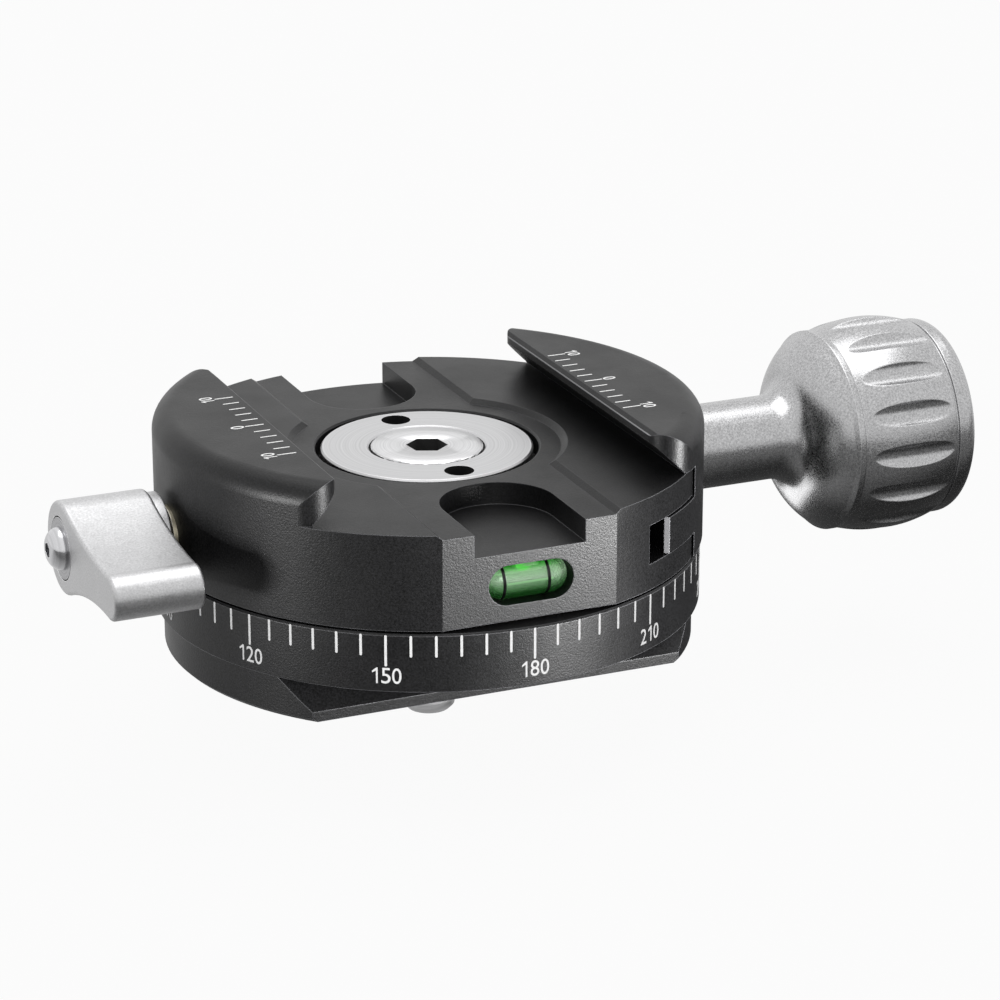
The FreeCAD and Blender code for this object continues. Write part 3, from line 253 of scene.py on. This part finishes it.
def radius_from_axis(tree, place, centre_mm, along):
    """Distance from an axis through centre_mm, in metres. along is 0, 1 or 2 for an axis along X, Y or
    Z."""
    keep = [1.0, 1.0, 1.0]
    keep[along] = 0.0
    shifted = add_node(tree, "ShaderNodeVectorMath", {"operation": "SUBTRACT", 1: Vector(centre_mm) * MM},
                       {0: place})
    flat = add_node(tree, "ShaderNodeVectorMath", {"operation": "MULTIPLY", 1: keep}, {0: shifted.outputs[0]})
    length = add_node(tree, "ShaderNodeVectorMath", {"operation": "LENGTH"}, {0: flat.outputs[0]})
    return length.outputs["Value"]


def distance_from(tree, place, point_mm):
    """Distance from a point, in metres."""
    node = add_node(tree, "ShaderNodeVectorMath", {"operation": "DISTANCE", 1: Vector(point_mm) * MM},
                    {0: place})
    return node.outputs["Value"]


def turning_marks(tree, radius, pitch_mm):
    """Fine uneven rings that a lathe leaves, about an axis."""
    spaced = add_node(tree, "ShaderNodeMath", {"operation": "MULTIPLY", 1: 1 / (pitch_mm * MM)}, {0: radius})
    noise = add_node(tree, "ShaderNodeTexNoise", {"noise_dimensions": "1D", "Scale": 1.0, "Detail": 2.0},
                     {"W": spaced.outputs[0]}).outputs["Fac"]
    return spread(tree, noise, 0.0, 1.0, 0.3, 0.7)


def black_anodised(name, bare_ends=False):
    """Black anodised aluminium, blasted with fine beads first: near black, with a soft sheen that the grain
    of the blasting breaks up, and a painted highlight along its edges, concave ones too, patchy by a broad
    noise. The grain is drawn coarser than real beads leave it, to show. bare_ends leaves the machined
    corners of the guide tongues bright."""
    material, tree = new_material(name)
    place = add_node(tree, "ShaderNodeTexCoord").outputs["Object"]
    fine = grain(tree, place, size_mm=BLAST_GRAIN)
    broad = grain(tree, place, size_mm=7.0, detail=3.0)
    edge, rounded = edges(tree, width_mm=0.14)
    # Painted highlight: all edges, concave ones too, are painted paler, patchy by the broad noise.
    painted_edge_highlight = combine(tree, "MULTIPLY", edge, spread(tree, broad, start=0.35, end=1.0))
    colour = two_tone(tree, painted_edge_highlight, two_tone(tree, fine, "#000000", "#171718"), "#6c6c6f")
    if bare_ends:
        normal = add_node(tree, "ShaderNodeNewGeometry").outputs["Normal"]
        facing = add_node(tree, "ShaderNodeSeparateXYZ", links={0: normal}).outputs
        inward = add_node(tree, "ShaderNodeSeparateXYZ", links={0: place}).outputs["X"]
        close = combine(tree, "LESS_THAN", inward, (TONGUE_END + CHAMFER_REACH) * MM)
        slanted = combine(tree, "MULTIPLY", combine(tree, "LESS_THAN", facing["X"], CHAMFER_SLANT[1]),
                         combine(tree, "GREATER_THAN", facing["X"], CHAMFER_SLANT[0]))
        colour = two_tone(tree, combine(tree, "MULTIPLY", close, slanted), colour, "#7c7c7e")
    shader = add_node(tree, "ShaderNodeBsdfPrincipled",
                      {"Specular IOR Level": 0.27},
                      {"Base Color": colour,
                       "Roughness": spread(tree, broad, start=0.36, end=0.44),
                       "Normal": bump(tree, fine, depth_mm=0.016, strength=0.6, normal=rounded)})
    finish_material(tree, shader.outputs[0])
    return material


def blasted_silver():
    """Clear anodised aluminium, bead blasted: pale grey metal whose soft reflection is broken into fine
    speckles, drawn coarser than real to show, with a painted highlight along its edges."""
    material, tree = new_material("clear_anodised_blasted_aluminium")
    place = add_node(tree, "ShaderNodeTexCoord").outputs["Object"]
    fine = grain(tree, place, size_mm=BLAST_GRAIN)
    edge, rounded = edges(tree, width_mm=0.2)
    # Painted highlight: the edges are painted paler than the speckled grey.
    colour = two_tone(tree, edge, two_tone(tree, fine, "#9a9a9b", "#cbcbcc"), "#dcdcdd")
    shader = add_node(tree, "ShaderNodeBsdfPrincipled",
                      {"Metallic": 1.0},
                      {"Base Color": colour,
                       "Roughness": spread(tree, fine, start=0.22, end=0.34),
                       "Normal": bump(tree, fine, depth_mm=0.011, strength=0.4, normal=rounded)})
    finish_material(tree, shader.outputs[0])
    return material


def satin_silver():
    """Clear anodised aluminium with a satin finish, as on a cast and blasted lever: matt and pale, with
    fine grain, and a painted highlight along its edges."""
    material, tree = new_material("clear_anodised_satin_aluminium")
    place = add_node(tree, "ShaderNodeTexCoord").outputs["Object"]
    fine = grain(tree, place, size_mm=BLAST_GRAIN)
    broad = grain(tree, place, size_mm=3.0)
    edge, rounded = edges(tree, width_mm=0.2)
    skin = two_tone(tree, fine, "#b6b6b7", two_tone(tree, broad, "#cfcfd0", "#d8d8d9"))
    # Painted highlight: the edges are painted near white.
    shader = add_node(tree, "ShaderNodeBsdfPrincipled",
                      {"Metallic": 1.0},
                      {"Base Color": two_tone(tree, edge, skin, "#ededee"),
                       "Roughness": spread(tree, fine, start=0.36, end=0.46),
                       "Normal": bump(tree, fine, depth_mm=0.012, strength=0.5, normal=rounded)})
    finish_material(tree, shader.outputs[0])
    return material


def turned_metal(name, centre_mm, along, dark, pale, pitch_mm, rough, holes=(), mouth_mm=0.0, seam_mm=0.0):
    """Turned metal, bright or plated: a gloss drawn out by the fine rings of the lathe about its axis,
    wider than real so that they show, and a painted highlight along its edges. Upright holes are painted
    near black inside as shade, and seam_mm gives the radius of a thin ring painted near black as the shade
    of the gap round a screw's head."""
    material, tree = new_material(name)
    place = add_node(tree, "ShaderNodeTexCoord").outputs["Object"]
    radius = radius_from_axis(tree, place, centre_mm, along)
    rings = turning_marks(tree, radius, pitch_mm)
    edge, rounded = edges(tree, width_mm=0.1)
    # Painted highlight: the edges are painted near white.
    colour = two_tone(tree, edge, two_tone(tree, rings, dark, pale), "#f0f0f1")
    roughness = spread(tree, rings, rough, rough + 0.1)
    settings, links = {"Metallic": 1.0}, {}
    # Painted shade: inside the holes, and in a thin ring round a screw's head, the metal is painted near
    # black and matt.
    if holes:
        black = inside_hole(tree, place, holes[0], mouth_mm)
        for hole in holes[1:]:
            black = combine(tree, "MAXIMUM", black, inside_hole(tree, place, hole, mouth_mm))
        if seam_mm:
            past_seam = combine(tree, "SUBTRACT", radius, seam_mm * MM)
            off_seam = combine(tree, "ABSOLUTE", past_seam, 0.0)
            seam_shade = combine(tree, "LESS_THAN", off_seam, SEAM_WIDTH / 2 * MM)
            black = combine(tree, "MAXIMUM", black, seam_shade)
        colour = two_tone(tree, black, colour, "#030303")
        roughness = combine(tree, "MAXIMUM", roughness, black)
        settings, links = {}, {"Metallic": spread(tree, black, 1.0, 0.0)}
    links.update({"Base Color": colour,
                  "Roughness": roughness,
                  "Normal": bump(tree, rings, depth_mm=0.004, strength=0.6, normal=rounded)})
    shader = add_node(tree, "ShaderNodeBsdfPrincipled", settings, links)
    finish_material(tree, shader.outputs[0])
    return material


def bearing_plastic():
    """Ivory low-friction plastic, cut from sheet: matt and faintly mottled, with painted shade, near black,
    where it lies under the two holes of the disc."""
    material, tree = new_material("ivory_bearing_plastic")
    place = add_node(tree, "ShaderNodeTexCoord").outputs["Object"]
    mottle = grain(tree, place, size_mm=1.5)
    # Painted shade: under the disc's holes the plastic is painted near black.
    shade_under_holes = combine(tree, "MAXIMUM", *(inside_hole(tree, place, hole, DISC_TOP) for hole in DISC_HOLES))
    ivory = two_tone(tree, mottle, "#ddd9cc", "#e9e6db")
    shader = add_node(tree, "ShaderNodeBsdfPrincipled",
                      {"Roughness": 0.55},
                      {"Base Color": two_tone(tree, shade_under_holes, ivory, "#050505"),
                       "Normal": bump(tree, mottle, depth_mm=0.01, strength=0.3)})
    finish_material(tree, shader.outputs[0])
    return material


def white_paint():
    """White paint in the engraved scales: matt, a little uneven."""
    material, tree = new_material("white_scale_paint")
    place = add_node(tree, "ShaderNodeTexCoord").outputs["Object"]
    mottle = grain(tree, place, size_mm=0.3)
    shader = add_node(tree, "ShaderNodeBsdfPrincipled",
                      {"Roughness": 0.6},
                      {"Base Color": two_tone(tree, mottle, "#e9e9e9", "#fbfbfb")})
    finish_material(tree, shader.outputs[0])
    return material


def level_green():
    """Green spirit in the level, painted with the light of the curved vial: a faint painted glow, pale in the
    middle and darker above and below as the vial bends the light, with a painted highlight where the bubble
    lies."""
    material, tree = new_material("green_level_spirit")
    place = add_node(tree, "ShaderNodeTexCoord").outputs["Object"]
    height = add_node(tree, "ShaderNodeSeparateXYZ", links={0: place}).outputs["Z"]
    share = spread(tree, height, 0.0, 1.0, VIAL_LOW.z * MM, VIAL_HIGH.z * MM)
    # Painted refraction: the green is paler in the middle and darker above and below, as the curved vial
    # would bend the light.
    ramp = add_node(tree, "ShaderNodeValToRGB", links={"Fac": share})
    band = ramp.color_ramp.elements
    band[0].color = linear("#10300f")
    band[1].color = linear("#0f5a12")
    for share_up, code in ((0.24, "#245c26"), (0.42, "#6f9d6d"), (0.58, "#c6dcc2"), (0.72, "#9fcc99"),
                           (0.84, "#2f9a2c")):
        band.new(share_up).color = linear(code)
    # Painted highlight of the bubble, near the top of the vial.
    away = distance_from(tree, place, BUBBLE)
    painted_bubble_highlight = spread(tree, away, 1.0, 0.0, BUBBLE_CORE * MM, BUBBLE_REACH * MM)
    colour = two_tone(tree, painted_bubble_highlight, ramp.outputs["Color"], "#63ff4f")
    # Painted glow: the spirit gives off a little light of its own colour, though it is no lamp.
    shader = add_node(tree, "ShaderNodeBsdfPrincipled",
                      {"Roughness": 0.3, "Emission Strength": 0.5},
                      {"Base Color": colour, "Emission Color": colour})
    finish_material(tree, shader.outputs[0])
    return material


def clear_acrylic():
    """Clear polished acrylic of the vial: glassy, with sharp small highlights and the faintest haze."""
    material, tree = new_material("clear_vial_acrylic")
    place = add_node(tree, "ShaderNodeTexCoord").outputs["Object"]
    haze = grain(tree, place, size_mm=2.0)
    shader = add_node(tree, "ShaderNodeBsdfPrincipled",
                      {"Base Color": linear("#f4fff6"), "Transmission Weight": 1.0, "IOR": 1.49},
                      {"Roughness": spread(tree, haze, start=0.0, end=0.03)})
    finish_material(tree, shader.outputs[0])
    return material


def black_ink():
    """Black ink of the lines on the vial: flat and even, with a slight gloss."""
    material, tree = new_material("black_vial_ink")
    place = add_node(tree, "ShaderNodeTexCoord").outputs["Object"]
    mottle = grain(tree, place, size_mm=0.3)
    shader = add_node(tree, "ShaderNodeBsdfPrincipled",
                      {"Roughness": 0.35},
                      {"Base Color": two_tone(tree, mottle, "#050506", "#0e0e10")})
    finish_material(tree, shader.outputs[0])
    return material


def assign(material, *names):
    """Give CAD nodes their finish."""
    for name in names:
        mesh = nodes[name].data
        mesh.materials.clear()
        mesh.materials.append(material)


def deselect():
    """Leave nothing selected and object mode on, because an operator acts on all that is selected."""
    if bpy.context.object and bpy.context.object.mode != "OBJECT":
        bpy.ops.object.mode_set(mode="OBJECT")
    bpy.ops.object.select_all(action="DESELECT")


def only(*pieces):
    """Select these pieces and nothing else, the first of them active."""
    deselect()
    for piece in pieces:
        piece.select_set(True)
    bpy.context.view_layer.objects.active = pieces[0]


def settle(piece, body, material):
    """Put a finished piece on its body, its place in its mesh, with its finish."""
    piece.data.transform(piece.matrix_world)
    piece.matrix_world = Matrix.Identity(4)
    piece.data.materials.clear()
    piece.data.materials.append(material)
    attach(piece, body)
    return piece


def join(name, pieces):
    """Make pieces one, under that name."""
    only(*pieces)
    if len(pieces) > 1:
        bpy.ops.object.join()
    piece = bpy.context.object
    piece.name = name
    piece.data.name = name
    return piece


def engraved_bar(width, length):
    """A flat bar with round ends, its top end at the origin and its length along -Y."""
    deselect()
    bpy.ops.mesh.primitive_plane_add(size=1, location=(0, -length / 2 * MM, 0))
    bar = bpy.context.object
    bar.scale = (width * MM, length * MM, 1)
    bpy.ops.object.transform_apply(location=True, rotation=False, scale=True)
    bpy.ops.object.mode_set(mode="EDIT")
    bpy.ops.mesh.select_all(action="SELECT")
    bpy.ops.mesh.bevel(offset=width * MARK_ROUNDING * MM, segments=MARK_ROUNDING_STEPS, affect="VERTICES")
    bpy.ops.mesh.select_all(action="SELECT")
    bpy.ops.mesh.extrude_region_move(TRANSFORM_OT_translate={"value": (0, 0, MARK_DEPTH * MM)})
    bpy.ops.mesh.select_all(action="SELECT")
    bpy.ops.mesh.normals_make_consistent(inside=False)
    bpy.ops.object.mode_set(mode="OBJECT")
    return bar


def copy_of(piece):
    """A copy with a mesh of its own."""
    twin = piece.copy()
    twin.data = piece.data.copy()
    bpy.context.scene.collection.objects.link(twin)
    return twin


def piece_from(shape, name):
    """A new object from a bmesh, with its faces turned outwards."""
    bmesh.ops.recalc_face_normals(shape, faces=shape.faces)
    mesh = bpy.data.meshes.new(name)
    shape.to_mesh(mesh)
    shape.free()
    piece = bpy.data.objects.new(name, mesh)
    bpy.context.scene.collection.objects.link(piece)
    return piece


def flagged_one():
    """A flat 1 with a flag and no foot, as engravers cut it."""
    shape = bmesh.new()
    face = shape.faces.new([shape.verts.new((x, y, 0)) for x, y in FIGURE_ONE])
    raised = bmesh.ops.extrude_face_region(shape, geom=[face])["geom"]
    bmesh.ops.translate(shape, verts=[v for v in raised if isinstance(v, bmesh.types.BMVert)],
                        vec=(0, 0, MARK_DEPTH * MM))
    return piece_from(shape, "figure")


def figure(character):
    """One flat figure, 1 high and standing on the origin, as thick as an engraved mark is deep."""
    if character == "1":
        return flagged_one()
    deselect()
    bpy.ops.object.text_add()
    letter = bpy.context.object
    letter.data.body = character
    letter.data.extrude = FIGURE_EXTRUSION
    letter.data.offset = FIGURE_THINNING
    letter.data.resolution_u = FIGURE_CURVE_STEPS
    bpy.ops.object.convert(target="MESH")
    piece = bpy.context.object
    corners = [v.co.copy() for v in piece.data.vertices]
    left, right = min(c.x for c in corners), max(c.x for c in corners)
    foot, head = min(c.y for c in corners), max(c.y for c in corners)
    depth = max(c.z for c in corners)
    for vertex, corner in zip(piece.data.vertices, corners):
        vertex.co = ((corner.x - (left + right) / 2) / (right - left) * FIGURE_WIDTH,
                     (corner.y - foot) / (head - foot),
                     (corner.z / depth + 1) / 2 * MARK_DEPTH * MM)
    return piece


def engraved_number(text, height):
    """A flat number of that height, its top middle at the origin."""
    figures = []
    for index, character in enumerate(text):
        piece = figure(character)
        middle = (index - (len(text) - 1) / 2) * FIGURE_ADVANCE
        piece.data.transform(Matrix.Translation((middle, -1, 0)))
        piece.data.transform(Matrix.Diagonal((height * MM, height * MM, 1, 1)))
        figures.append(piece)
    return join("number", figures)


def wrap(piece, angle, top):
    """Bend a flat piece round the ring: its X runs along the ring, its Y up, and its Z outwards."""
    for vertex in piece.data.vertices:
        x, y, z = vertex.co
        turn = math.radians(angle) + x / (RING_RADIUS * MM)
        radius = (RING_RADIUS + MARK_LIFT) * MM + z
        vertex.co = (radius * math.cos(turn), radius * math.sin(turn), top * MM + y)


def lay(piece, x, y, turn):
    """Lay a flat piece on a jaw, turned about the upright."""
    piece.data.transform(Matrix.Rotation(math.radians(turn), 4, "Z"))
    piece.data.transform(Matrix.Translation(Vector((x, y, JAW_TOP + MARK_LIFT)) * MM))


def ring_scale():
    """Degree scale round the ring: a line every 5 degrees, a long one and its number every 30."""
    short = engraved_bar(RING_MARK_WIDTH, RING_MARK_SHORT)
    long = engraved_bar(RING_MARK_WIDTH, RING_MARK_LONG)
    marks = []
    for value in range(0, 360, RING_STEP):
        angle = value + 90 + RING_TURN
        is_long = value % RING_LONG_STEP == 0
        mark = copy_of(long if is_long else short)
        wrap(mark, angle, RING_MARK_TOP)
        marks.append(mark)
        if is_long:
            number = engraved_number(str(value), RING_NUMBER_HEIGHT)
            wrap(number, angle, RING_NUMBER_TOP)
            marks.append(number)
    bpy.data.objects.remove(short)
    bpy.data.objects.remove(long)
    return settle(join("ring_scale", marks), "base", paint)


def jaw_scale(name, body, side, start, shift):
    """Row of lines along a jaw, 2 mm apart, with 0 in the middle and 10 at both ends."""
    marks = []
    middle = JAW_MARK_COUNT // 2
    for index in range(JAW_MARK_COUNT):
        steps = middle - index
        is_long = steps % middle == 0
        y = steps * JAW_MARK_PITCH + shift
        mark = engraved_bar(JAW_MARK_WIDTH, JAW_MARK_LONG if is_long else JAW_MARK_SHORT)
        lay(mark, start, y, side * 90)
        marks.append(mark)
        if is_long:
            text = str(abs(steps) * int(JAW_MARK_PITCH))
            number = engraved_number(text, JAW_NUMBER_HEIGHT)
            lay(number, start + side * (JAW_MARK_LONG + JAW_NUMBER_GAP + JAW_NUMBER_HEIGHT), y, -side * 90)
            marks.append(number)
    return settle(join(name, marks), body, paint)


def level_lines():
    """Two black lines round the vial, which the bubble lies between."""
    lines = []
    for x in LINE_PLACES:
        deselect()
        bpy.ops.mesh.primitive_cylinder_add(vertices=LINE_STEPS, radius=(VIAL_RADIUS + LINE_LIFT) * MM,
                                            depth=LINE_WIDTH * MM, end_fill_type="NOTHING",
                                            rotation=(0, math.pi / 2, 0),
                                            location=Vector((x, VIAL_MIDDLE.y, VIAL_MIDDLE.z)) * MM)
        line = bpy.context.object
        wall = line.modifiers.new("wall", "SOLIDIFY")
        wall.thickness = LINE_THICKNESS * MM
        wall.offset = -1
        bpy.ops.object.modifier_apply(modifier="wall")
        line.data.transform(line.matrix_world)
        line.matrix_world = Matrix.Identity(4)
        lines.append(line)
    return settle(join("level_lines", lines), "clamp", ink)


def thread_radius(turns, above_end):
    """Radius of the thread at a share of its turn, with the lower end tapered."""
    share = turns % 1.0
    start, stop = THREAD_FLAT
    rise = min(share / start, (1.0 - share) / (1.0 - stop), 1.0)
    radius = THREAD_ROOT + (THREAD_CREST - THREAD_ROOT) * rise
    return min(radius, THREAD_CREST - max(0.0, THREAD_TAPER - above_end))


def threaded_end():
    """The threaded end of the mounting screw: rows of corners that climb one pitch a turn, cut flat above
    and below. A Screw modifier leaves an open spiral at both ends, so the rows are laid one by one."""
    shape = bmesh.new()
    corners = {}

    def corner(step, turns):
        climb = SCREW_END + (turns - 1.0 + step / THREAD_STEPS) * THREAD_PITCH
        height = min(max(climb, SCREW_END), THREAD_TOP)
        key = (step % THREAD_STEPS, round(height, 4))
        if key not in corners:
            angle = math.tau * step / THREAD_STEPS
            above_end = height - SCREW_END
            radius = thread_radius(above_end / THREAD_PITCH - step / THREAD_STEPS, above_end) * MM
            corners[key] = shape.verts.new((radius * math.cos(angle), radius * math.sin(angle), height * MM))
        return corners[key]

    turn_count = int((THREAD_TOP - SCREW_END) / THREAD_PITCH) + 3
    rows = [turn + share for turn in range(turn_count) for share in (0.0, *THREAD_FLAT)]
    for step in range(THREAD_STEPS):
        for row, above in zip(rows, rows[1:]):
            around = (corner(step, row), corner(step + 1, row), corner(step + 1, above), corner(step, above))
            around = list(dict.fromkeys(around))
            if len(around) > 2:
                shape.faces.new(around)
    for row, height in ((rows[0], SCREW_END), (rows[-1], THREAD_TOP)):
        middle = shape.verts.new((0, 0, height * MM))
        for step in range(THREAD_STEPS):
            shape.faces.new((middle, corner(step, row), corner(step + 1, row)))
    return piece_from(shape, "thread")


def threaded_screw():
    """The mounting screw with the thread of its lower end cut, in place of the plain one."""
    head = bpy.data.objects.new("mounting_screw_head", nodes["mounting_screw"].data.copy())
    bpy.context.scene.collection.objects.link(head)
    only(head)
    bpy.ops.object.mode_set(mode="EDIT")
    bpy.ops.mesh.select_all(action="SELECT")
    bpy.ops.mesh.remove_doubles(threshold=MERGE_DISTANCE * MM)
    bpy.ops.mesh.select_all(action="SELECT")
    bpy.ops.mesh.bisect(plane_co=(0, 0, THREAD_TOP * MM), plane_no=(0, 0, 1), clear_inner=True, use_fill=True,
                        threshold=MERGE_DISTANCE * MM)
    bpy.ops.object.mode_set(mode="OBJECT")
    screw = join("mounting_screw_threaded", [head, threaded_end()])
    only(screw)
    bpy.ops.object.shade_smooth_by_angle(angle=math.radians(SMOOTH_ANGLE))
    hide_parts("mounting_screw")
    # The screw's hex socket is painted near black inside as shade.
    steel = turned_metal("turned_steel_screw", PAN_CENTRE, UPRIGHT, dark="#cacacb", pale="#dededf",
                         pitch_mm=0.18, rough=0.28, holes=(SOCKET,), mouth_mm=SCREW_TOP)
    return settle(screw, "base", steel)


paint = white_paint()
ink = black_ink()
assign(black_anodised("black_anodised_blasted_aluminium"), "scale_base", "clamp_body")
assign(black_anodised("black_anodised_jaw_aluminium", bare_ends=True), "movable_jaw")
assign(blasted_silver(), "clamp_knob")
assign(satin_silver(), "lock_lever")
# The disc's two holes are painted near black inside as shade, and so is a thin ring round the screw's head.
assign(turned_metal("turned_aluminium_disc", PAN_CENTRE, UPRIGHT, dark="#bdbdbe", pale="#cfcfd0",
                    pitch_mm=0.22, rough=0.30, holes=DISC_HOLES, mouth_mm=DISC_TOP, seam_mm=SEAM_RADIUS),
       "retaining_disc")
assign(turned_metal("turned_steel_lock", LOCK_CENTRE, SIDEWAYS, dark="#8e8e90", pale="#b4b4b6",
                    pitch_mm=0.12, rough=0.24),
       "lock_stud", "lever_insert", "lever_washer", "lever_spring")
assign(turned_metal("polished_steel_screw", LOCK_CENTRE, SIDEWAYS, dark="#c2c2c4", pale="#d6d6d8",
                    pitch_mm=0.3, rough=0.12),
       "lever_screw")
assign(turned_metal("nickel_plated_brass", LOCK_CENTRE, SIDEWAYS, dark="#a49c88", pale="#c2bba6",
                    pitch_mm=0.12, rough=0.25),
       "stud_bush", "brake_shoe")
assign(turned_metal("turned_steel_rod", KNOB_CENTRE, SIDEWAYS, dark="#8e8e90", pale="#b0b0b2",
                    pitch_mm=0.15, rough=0.28),
       "clamp_screw", "guide_pins", "jaw_springs")
assign(bearing_plastic(), "thrust_washer", "hub_washer", "flange_washer", "knob_washer")
assign(clear_acrylic(), "level_vial")
assign(level_green(), "level_liquid")
threaded_screw()
scales = (ring_scale(),
          jaw_scale("left_jaw_scale", "clamp", -1, LEFT_MARK_START, LEFT_MARK_SHIFT),
          jaw_scale("right_jaw_scale", "jaw", 1, RIGHT_MARK_START, RIGHT_MARK_SHIFT))
level_lines()


# Studio. FLOOR_SHARE is how much of the floor the camera sees as plain white, the rest being lit paint that
# holds the shadow. Metal sees the floor FLOOR_BEFORE bright in front and FLOOR_BEHIND bright behind, with a
# fade between, and FLAG_SHARE of that over the flag, which is even up to FLAG_CORE and gone at FLAG_REACH.
FLOOR_SIZE = 6.0
FLOOR_COLOUR = "#b8b8b8"
FLOOR_SHARE = 0.95
FLOOR_BEFORE = 0.2
FLOOR_BEHIND = 0.8
FLOOR_FADE = 30.0
FLAG_PLACE = (80.0, 30.0, SCREW_END)
FLAG_CORE = 55.0
FLAG_REACH = 80.0
FLAG_SHARE = 0.12
SKY_STRENGTH = 0.4
CAMERA_PLACE = (-0.14388, -0.35623, 0.15453)
CAMERA_TURN = (-23.1854, 19.9566)
CAMERA_LENS = 133.84
SENSOR_WIDTH = 36.0
CLIP_START = 0.01
CLIP_END = 20.0


def studio_floor(name):
    """Pale floor. A camera and glass see it near white, with the shadow of what stands on it. Metal sees it
    dimmer in front than behind, and dark behind the knob, where a black flag would lie, which gives the
    metal its outlines."""
    material, tree = new_material(name)
    path = add_node(tree, "ShaderNodeLightPath").outputs
    seen = combine(tree, "MAXIMUM", path["Is Camera Ray"], path["Is Transmission Ray"])
    mix = combine(tree, "MAXIMUM", combine(tree, "MULTIPLY", seen, FLOOR_SHARE), path["Is Glossy Ray"])
    place = add_node(tree, "ShaderNodeTexCoord").outputs["Object"]
    behind = add_node(tree, "ShaderNodeSeparateXYZ", links={0: place}).outputs["Y"]
    mirrored = spread(tree, behind, FLOOR_BEFORE, FLOOR_BEHIND, -FLOOR_FADE * MM, FLOOR_FADE * MM)
    away = distance_from(tree, place, FLAG_PLACE)
    open_floor = spread(tree, away, FLAG_SHARE, 1.0, FLAG_CORE * MM, FLAG_REACH * MM)
    mirrored = combine(tree, "MULTIPLY", mirrored, open_floor)
    strength = combine(tree, "MAXIMUM", seen, mirrored)
    matt = add_node(tree, "ShaderNodeBsdfDiffuse", {"Color": linear(FLOOR_COLOUR)})
    glow = add_node(tree, "ShaderNodeEmission", {"Color": (1, 1, 1, 1)}, {"Strength": strength})
    both = add_node(tree, "ShaderNodeMixShader", links={0: mix, 1: matt.outputs[0], 2: glow.outputs[0]})
    finish_material(tree, both.outputs[0])
    return material


def soft_light(name, place, aim, width, height, power):
    """A rectangular softbox, turned towards its aim."""
    data = bpy.data.lights.new(name, "AREA")
    data.shape = "RECTANGLE"
    data.size = width
    data.size_y = height
    data.energy = power
    lamp = bpy.data.objects.new(name, data)
    lamp.location = place
    lamp.rotation_mode = "QUATERNION"
    lamp.rotation_quaternion = (Vector(aim) - Vector(place)).to_track_quat("-Z", "Y")
    bpy.context.scene.collection.objects.link(lamp)
    return lamp


def for_only(lamp, *pieces):
    """Let a softbox light these pieces only, as flags round it would."""
    lit = bpy.data.collections.new(lamp.name)
    for piece in pieces:
        lit.objects.link(piece)
    lamp.light_linking.receiver_collection = lit


deselect()
bpy.ops.mesh.primitive_plane_add(size=FLOOR_SIZE, location=(0, 0, SCREW_END * MM))
floor = bpy.context.object
floor.name = "floor"
floor.data.materials.append(studio_floor("studio_floor_white"))

world = bpy.data.worlds.new("studio")
bpy.context.scene.world = world
world.use_nodes = True
world.node_tree.nodes.clear()
path = add_node(world.node_tree, "ShaderNodeLightPath").outputs
seen = combine(world.node_tree, "MAXIMUM", path["Is Camera Ray"], path["Is Glossy Ray"])
seen = combine(world.node_tree, "MAXIMUM", seen, path["Is Transmission Ray"])
sky = add_node(world.node_tree, "ShaderNodeBackground", {"Color": (1, 1, 1, 1)},
               {"Strength": spread(world.node_tree, seen, SKY_STRENGTH, 1.0)})
add_node(world.node_tree, "ShaderNodeOutputWorld", links={"Surface": sky.outputs[0]})

black_pieces = [nodes[name] for name in ("scale_base", "clamp_body", "movable_jaw")]
soft_light("overhead_softbox", place=(0.05, 0.1, 0.7), aim=(0, 0, 0.02), width=0.6, height=0.6, power=2.2)
front = soft_light("front_softbox", place=(-0.15, -0.75, 0.35), aim=(0, 0, 0.02), width=0.6, height=0.4,
                   power=2.6)
for_only(front, *black_pieces, *scales, nodes["level_vial"], nodes["level_liquid"])
fill = soft_light("scale_fill", place=(-0.1, -0.75, 0.45), aim=(0, 0, 0.02), width=0.6, height=0.4, power=3.0)
for_only(fill, *scales)
right_sheen = soft_light("front_right_sheen", place=(0.062, -0.118, 0.004), aim=(0.0, -0.03, 0.006),
                         width=0.05, height=0.024, power=0.42)
for_only(right_sheen, *black_pieces)
left_sheen = soft_light("left_sheen", place=(-0.28, -0.06, 0.012), aim=(-0.03, 0, 0.01),
                        width=0.08, height=0.04, power=0.7)
for_only(left_sheen, *black_pieces)
low_sheen = soft_light("knob_low_sheen", place=(0.028, 0.010, -0.009), aim=(0.036, -0.004, 0.01),
                       width=0.04, height=0.05, power=0.012)
for_only(low_sheen, nodes["clamp_knob"])

camera_data = bpy.data.cameras.new("camera")
camera_data.lens = CAMERA_LENS
camera_data.sensor_width = SENSOR_WIDTH
camera_data.clip_start = CLIP_START
camera_data.clip_end = CLIP_END
camera = bpy.data.objects.new("camera", camera_data)
azimuth, elevation = (math.radians(a) for a in CAMERA_TURN)
back = Vector((math.sin(azimuth) * math.cos(elevation), -math.cos(azimuth) * math.cos(elevation),
               math.sin(elevation)))
camera.location = CAMERA_PLACE
camera.rotation_mode = "QUATERNION"
camera.rotation_quaternion = (-back).to_track_quat("-Z", "Y")
bpy.context.scene.collection.objects.link(camera)
bpy.context.scene.camera = camera
bpy.context.scene.view_settings.view_transform = "Standard"
